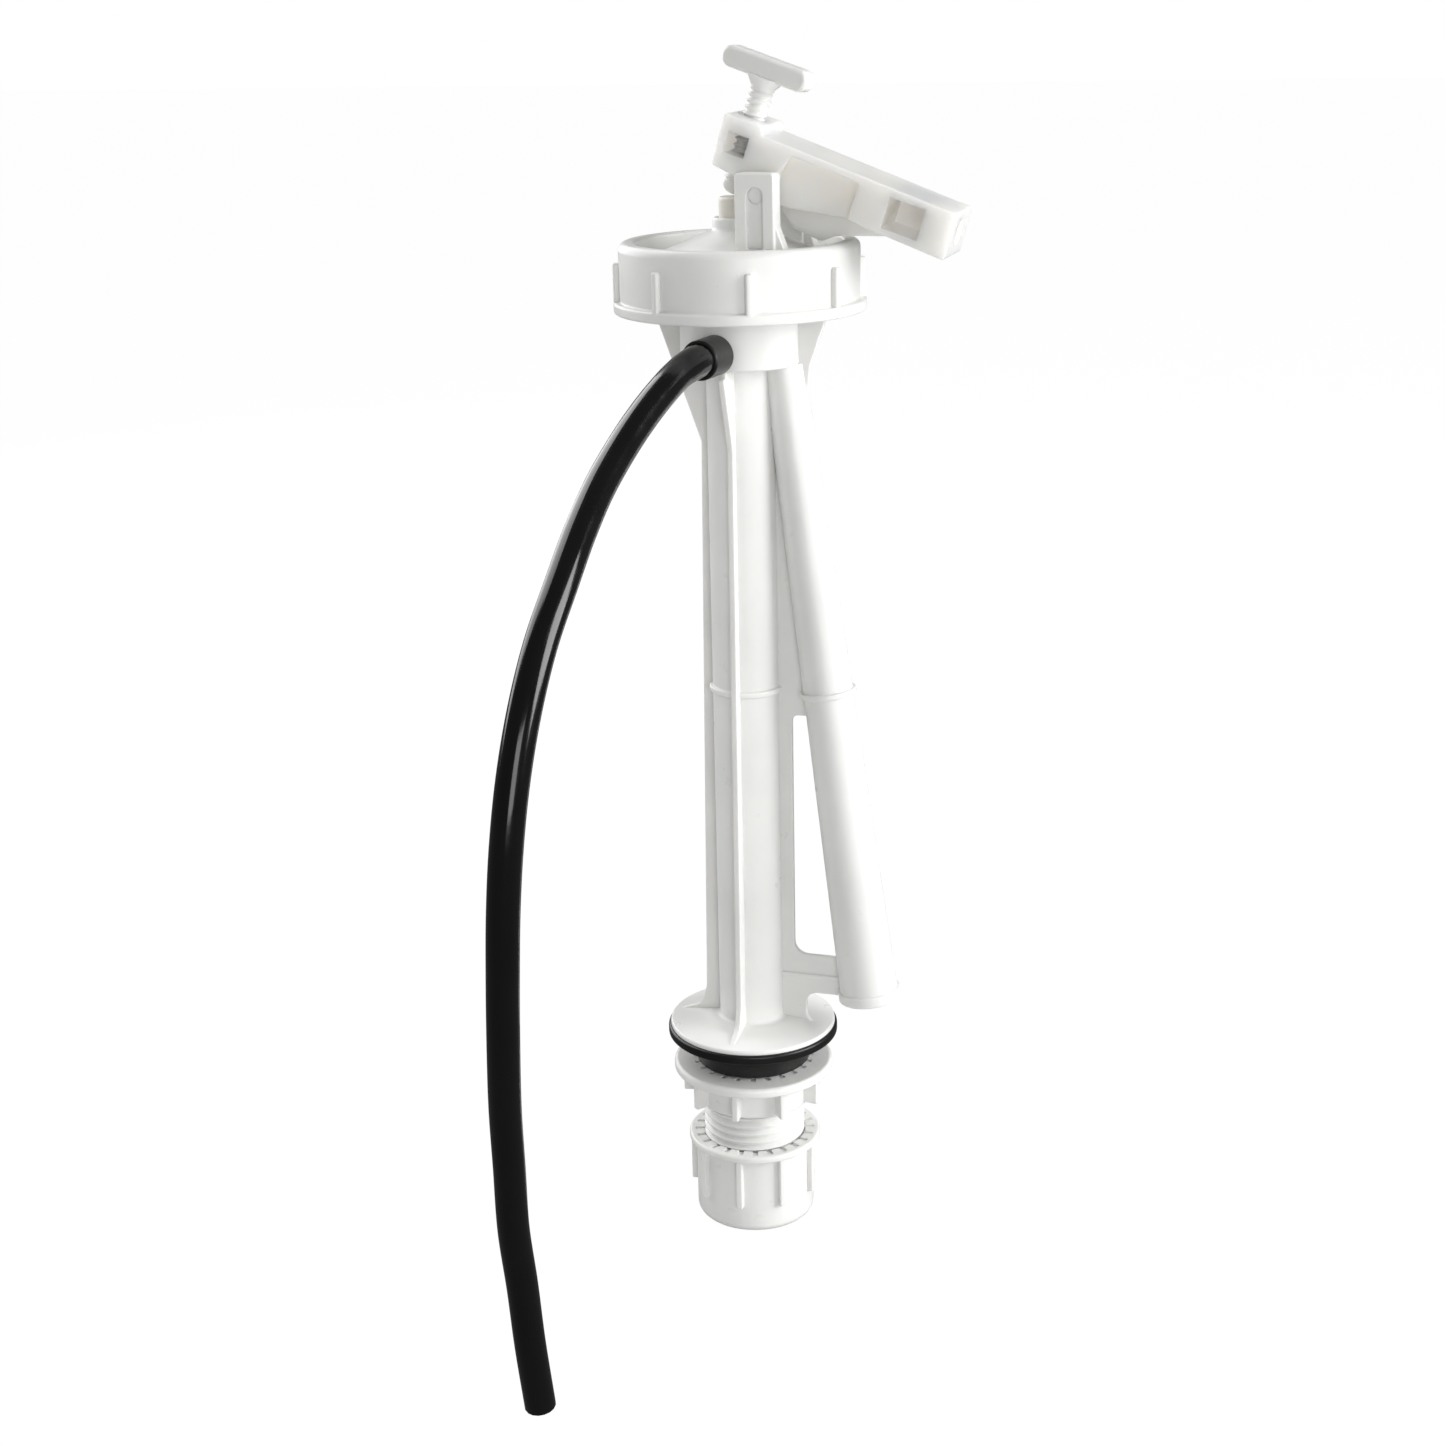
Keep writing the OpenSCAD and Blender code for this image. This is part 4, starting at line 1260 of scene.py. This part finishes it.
@dataclass
class Arm(SubAssembly):
    """Float arm and its adjusting screw, drawn level and then tilted about the pivot."""

    pivot: Point3 = (6.9, 0.0, 180.0)
    tilt: float = 18.5
    width: float = 15.0
    length: float = 37.4
    block_len: float = 19.9
    top_near: float = 10.4
    top_far: float = 8.7
    low_far: float = -0.3
    block_top: float = 12.0
    panel: float = 1.8
    belly_t: float = 3.0
    hub_r: float = 2.7
    pin_hole_r: float = 1.56
    rod_hole_r: float = 2.6
    rod_w: float = 4.5
    window_back: float = 9.7
    window_half: float = 3.65
    window_high: float = 3.0
    window_wall: float = 2.4
    slot_half: float = 2.2
    slot_low: float = 5.0
    slot_top: float = 9.0
    screw_u: float = -7.618
    screw_r: float = 2.4
    screw_hole_r: float = 2.46
    thread_deep: float = 0.5
    thread_pitch: float = 1.25
    tip_w: float = -0.84
    bar_w: float = 21.5
    bar_len: float = 18.8
    bar_t: float = 4.2
    bar_y: float = 4.6
    bar_turn: float = -9.0

    @property
    def end_u(self) -> float:
        """Near face of the end block, as a distance from the pivot."""
        return self.length - self.block_len

    @property
    def window_u(self) -> float:
        """Middle of the window in the end block, as a distance from the pivot."""
        return self.length - self.window_back

    def top_at(self, u: float) -> float:
        """Height of the arm's top edge at a distance from the pivot."""
        return self.top_near + (self.top_far - self.top_near) * (u + 3) / (self.length + 3)

    def hang(self, piece: bpy.types.Object) -> bpy.types.Object:
        """Tilt a piece drawn level and put it on the pivot."""
        return place(piece, self.tilt, "Y", self.pivot)

    def frame(self) -> bpy.types.Object:
        """Screw block, end block and the rails between them.

        Returns:
            The frame, level, with the pivot at the origin.
        """
        s, end, far = self.screw_u, self.end_u, self.length
        return plate("lever", soft([
            (s - 4, self.block_top, 0.6), (s + 3.8, self.block_top, 0.5), (s + 4.6, self.top_near, 0.4),
            (far - 0.3, self.top_at(far), 0.5), (far + 0.3, self.low_far, 0.6),
            (far - 7, self.low_far + 0.4, 3), (end + 2.6, 0.6, 1), (end, 0.9, 0.3),
            (end, self.top_at(end) - 1.6, 0.6), (3.4, self.top_at(3.4) - 1.6, 0.6), (2.2, 4.8, 1.0),
            (2.7, 0, 1.0), (0.6, -2.6, 1.2), (-2.2, -1.6, 1.2), (-2.7, 0.8, 0.8), (s - 3.6, 2.1, 0.6)],
            closed=True)[:-1], self.width, 0.35)

    def filling(self) -> list[bpy.types.Object]:
        """Hub, recessed side panel and belly, which fill the frame.

        Returns:
            The solids to add.
        """
        end = self.end_u
        hub = place(rod("hub", self.hub_r, -self.width / 2, self.width / 2, 0.3), 90, "X")
        panel = plate("panel", [
            (-1, self.top_at(0) - 1), (end + 1, self.top_at(end + 1) - 1), (end + 1, 0.9), (5.2, -1.2),
            (0, -1.5)], self.width - 2 * self.panel, 0.3)
        belly = plate("belly", soft([
            (0, 1, 0), (end + 9, 1.2, 0), (end + 9, 0, 0), (end + 0.8, -2.7, 4), (end - 2.5, -3.9, 2),
            (end - 4.9, -5.8, 1), (6.5, -5.2, 1), (3, -2.4, 1)], closed=True)[:-1], self.belly_t, 0.3)
        return [hub, panel, belly]

    def openings(self) -> list[bpy.types.Object]:
        """Holes for pin, screw and rod, and the windows in both blocks.

        Returns:
            The solids to take away.
        """
        s, u, w = self.screw_u, self.window_u, self.rod_w
        wide, high = self.window_half, self.window_high
        return [
            place(rod("pin_hole", self.pin_hole_r, -20, 20), 90, "X"),
            place(rod("screw_hole", self.screw_hole_r, -10, 20), to=(s, 0, 0)),
            block("screw_window", (s - self.slot_half, -20, self.slot_low),
                  (s + self.slot_half, 20, self.slot_top)),
            block("end_window", (u - wide, -20, w - high),
                  (u + wide, self.width / 2 - self.window_wall, w + high)),
            place(rod("rod_hole", self.rod_hole_r, 0, 20), 90, "Y", (u, 0, w))]

    def at_window(self, p: Vector, slack: float = 0.1) -> bool:
        """Whether a point of a side face lies at the rim of a window.

        Args:
            p: The point, in mm.
            slack: How far off the rim it may be, in mm.

        Returns:
            True at a rim.
        """
        in_slot = (abs(p.x - self.screw_u) < self.slot_half + slack
                   and self.slot_low - slack < p.z < self.slot_top + slack)
        in_window = (abs(p.x - self.window_u) < self.window_half + slack
                     and abs(p.z - self.rod_w) < self.window_high + slack)
        return (in_slot or in_window) and abs(abs(p.y) - self.width / 2) < 0.02

    def lever(self) -> None:
        """Arm: its frame, filled and then opened, with rounded window rims."""
        piece = cut(weld(self.frame(), *self.filling()), *self.openings())
        round_where(piece, lambda a, b: self.at_window(a) and self.at_window(b) and a.y * b.y > 0, 0.3)
        self.finish(self.hang(piece), "float_arm", "arm", ARM_ACETAL, "white_plastic", "lever")

    def screw(self) -> None:
        """Adjusting screw: ball tip, threaded shank, flare and bar."""
        r, tip = self.screw_r, self.tip_w
        flare = self.bar_w - self.bar_t / 2 - 2.2
        thread = threaded("thread", r, r - self.thread_deep, self.thread_pitch, tip + 0.6, flare + 0.4)
        ball_r, angles = r * 0.99, [math.radians(a) for a in range(0, 96, 8)]
        ball = turned("ball", [
            *[(ball_r * math.sin(a), tip - ball_r * math.cos(a)) for a in angles],
            (r * 0.7, tip + 1.2), (0, tip + 1.2)], 48)
        neck = turned("neck", soft([
            (0, flare, 0), (r - 0.1, flare, 0.2), (r + 0.1, flare + 0.8, 1), (r + 1.4, flare + 2.6, 0),
            (0, flare + 2.6, 0)], steps=5), 64)
        ends, t = self.bar_len / 2, self.bar_t / 2
        bar = plate("bar", soft([
            (-ends, self.bar_w - t, t * 0.98), (ends, self.bar_w - t, t * 0.98),
            (ends, self.bar_w + t, t * 0.98), (-ends, self.bar_w + t, t * 0.98)], steps=10,
            closed=True)[:-1], self.bar_y, 0.9, segments=5)
        piece = weld(thread, ball, neck, bar)
        place(piece, self.bar_turn, "Z", (self.screw_u, 0, 0))
        self.finish(self.hang(piece), "adjusting_screw_moulded", "screw", ACETAL, "white_plastic",
                    "adjusting_screw")

    def build(self) -> None:
        """Make the arm and its screw."""
        self.lever()
        self.screw()


@dataclass
class Shank(SubAssembly):
    """Inlet shank, rubber seal, back nut and supply nut."""

    shank_r: float = 11.1
    root_r: float = 10.02
    bore_r: float = 6.0
    pitch: float = 1.814
    low: float = field(default_factory=lambda: low_z("threaded_shank"))
    top: float = field(default_factory=lambda: top_z("threaded_shank"))
    thread_top: float = -6.6
    seal_r: float = 18.45
    seal_t: float = 2.2
    cone_h: float = 5.9
    strainer_r: float = 7.42
    strainer_t: float = 1.22
    play: float = 0.06
    ribs: int = 9
    rib_w: float = 1.5
    notches: int = 24
    notch_w: float = 1.2
    notch_deep: float = 0.45

    def shank(self) -> None:
        """Shank with its helical thread, neck and bore."""
        piece = threaded("shank", self.shank_r, self.root_r, self.pitch, self.low + 0.6,
                         self.thread_top - 1, 96)
        neck = rod("neck", self.shank_r - 0.1, self.thread_top - 1.2, self.top, 0.2, 96)
        lead = rod("lead", self.root_r, self.low, self.low + 1.4, 0.5, 96)
        cut(weld(piece, neck, lead), rod("bore", self.bore_r, self.low - 1, self.top + 1),
            rod("strainer_seat", self.strainer_r, self.low - 1, self.low + self.strainer_t))
        self.finish(piece, "inlet_shank", "body", ACETAL, "white_plastic", "threaded_shank")
        self.dress(POLYETHYLENE, "inlet_strainer")

    def seal(self) -> None:
        """Rubber seal with a lip round its rim and a cone below."""
        bore, r = self.shank_r - 0.08, self.seal_r
        piece = turned("seal", soft([
            (bore, -self.cone_h, 0), (self.shank_r + 1.3, -self.cone_h, 0.3), (self.shank_r + 1.9, 0, 0.4),
            (r - 0.9, 0, 0.2), (r - 0.6, 0.25, 0.2), (r, 0.25, 0.4), (r, self.seal_t, 0.5),
            (bore, self.seal_t, 0)], closed=True))
        self.finish(piece, "rubber_seal", "body", RUBBER, "black_rubber", "flange_seal")

    def nut(self, name: str, body: str, node: str, profile: list[Point3],
            rib: tuple[float, float, float, float], phase: float) -> None:
        """Flanged nut with grip ribs round its hub and notches round its bore.

        Args:
            name: Name of the piece.
            body: Body it rides on.
            node: CAD node it replaces.
            profile: Corners (radius, height, rounding) of its section.
            rib: Inner and outer radius, bottom and top of each rib.
            phase: Angle of the first rib, in degrees.
        """
        piece = turned(name, soft(profile, steps=5, closed=True))
        r_in, r_out, bottom, high = rib
        half, top, slit = self.rib_w / 2, top_z(node), self.notch_w / 2
        grip = block("grip", (r_in, -half, bottom), (r_out, half, high), 0.35)
        weld(piece, around(grip, self.ribs, phase))
        notch = block("notch", (self.shank_r - 0.5, -slit, top - self.notch_deep),
                      (self.shank_r + 2.1, slit, top + 1), 0.1)
        cut(piece, around(notch, self.notches, phase))
        self.finish(piece, name, body, ACETAL, "white_plastic", node)

    def back_nut(self) -> None:
        """Back nut, flange up, that pulls the seal down on the cistern floor."""
        low, top, bore = low_z("back_nut"), top_z("back_nut"), self.shank_r + self.play
        r, hub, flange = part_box("back_nut")[1].x / MM, self.shank_r + 1.4, top - 2.1
        self.nut("back_nut_ribbed", "back_nut", "back_nut", [
            (bore, low, 0.3), (hub, low, 0.6), (hub, flange, 0.5), (r, flange, 0.5), (r, top, 0.9),
            (bore, top, 0.3)], (hub - 0.5, hub + 3.0, low + 0.6, top - 1), 31)

    def supply_nut(self) -> None:
        """Supply nut, flange up, with an inner shelf that holds the washers."""
        low, top, bore = low_z("coupling_nut"), top_z("coupling_nut"), self.shank_r + self.play
        r, hub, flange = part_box("coupling_nut")[1].x / MM, self.shank_r + 1.85, top - 1.6
        pipe_r, shelf = 6.5, low + 2.4
        self.nut("supply_nut_ribbed", "supply_nut", "coupling_nut", [
            (pipe_r, low, 0.3), (hub, low, 1.8), (hub, flange, 0.5), (r, flange, 0.5), (r, top, 0.6),
            (bore, top, 0.3), (bore, shelf, 0), (pipe_r, shelf, 0.3)],
            (hub - 0.5, hub + 1.25, low + 6.4, top - 0.8), 32)

    def build(self) -> None:
        """Make the shank, the seal and both nuts, and dress the washers."""
        self.shank()
        self.seal()
        self.back_nut()
        self.supply_nut()
        self.dress(POLYETHYLENE, "friction_ring")
        self.dress(RUBBER, "cone_washer")


def main() -> None:
    """Build the studio and the valve."""
    logging.basicConfig(level=logging.INFO, format="%(name)s: %(message)s")
    Camera().build()
    finishes = Finishes()
    RefillLine(finishes).build()
    for group in (Standpipe, Head, CapNut, Cover, Arm, Shank):
        group(finishes).build()
    Studio().build()


if __name__ == "__main__":
    main()
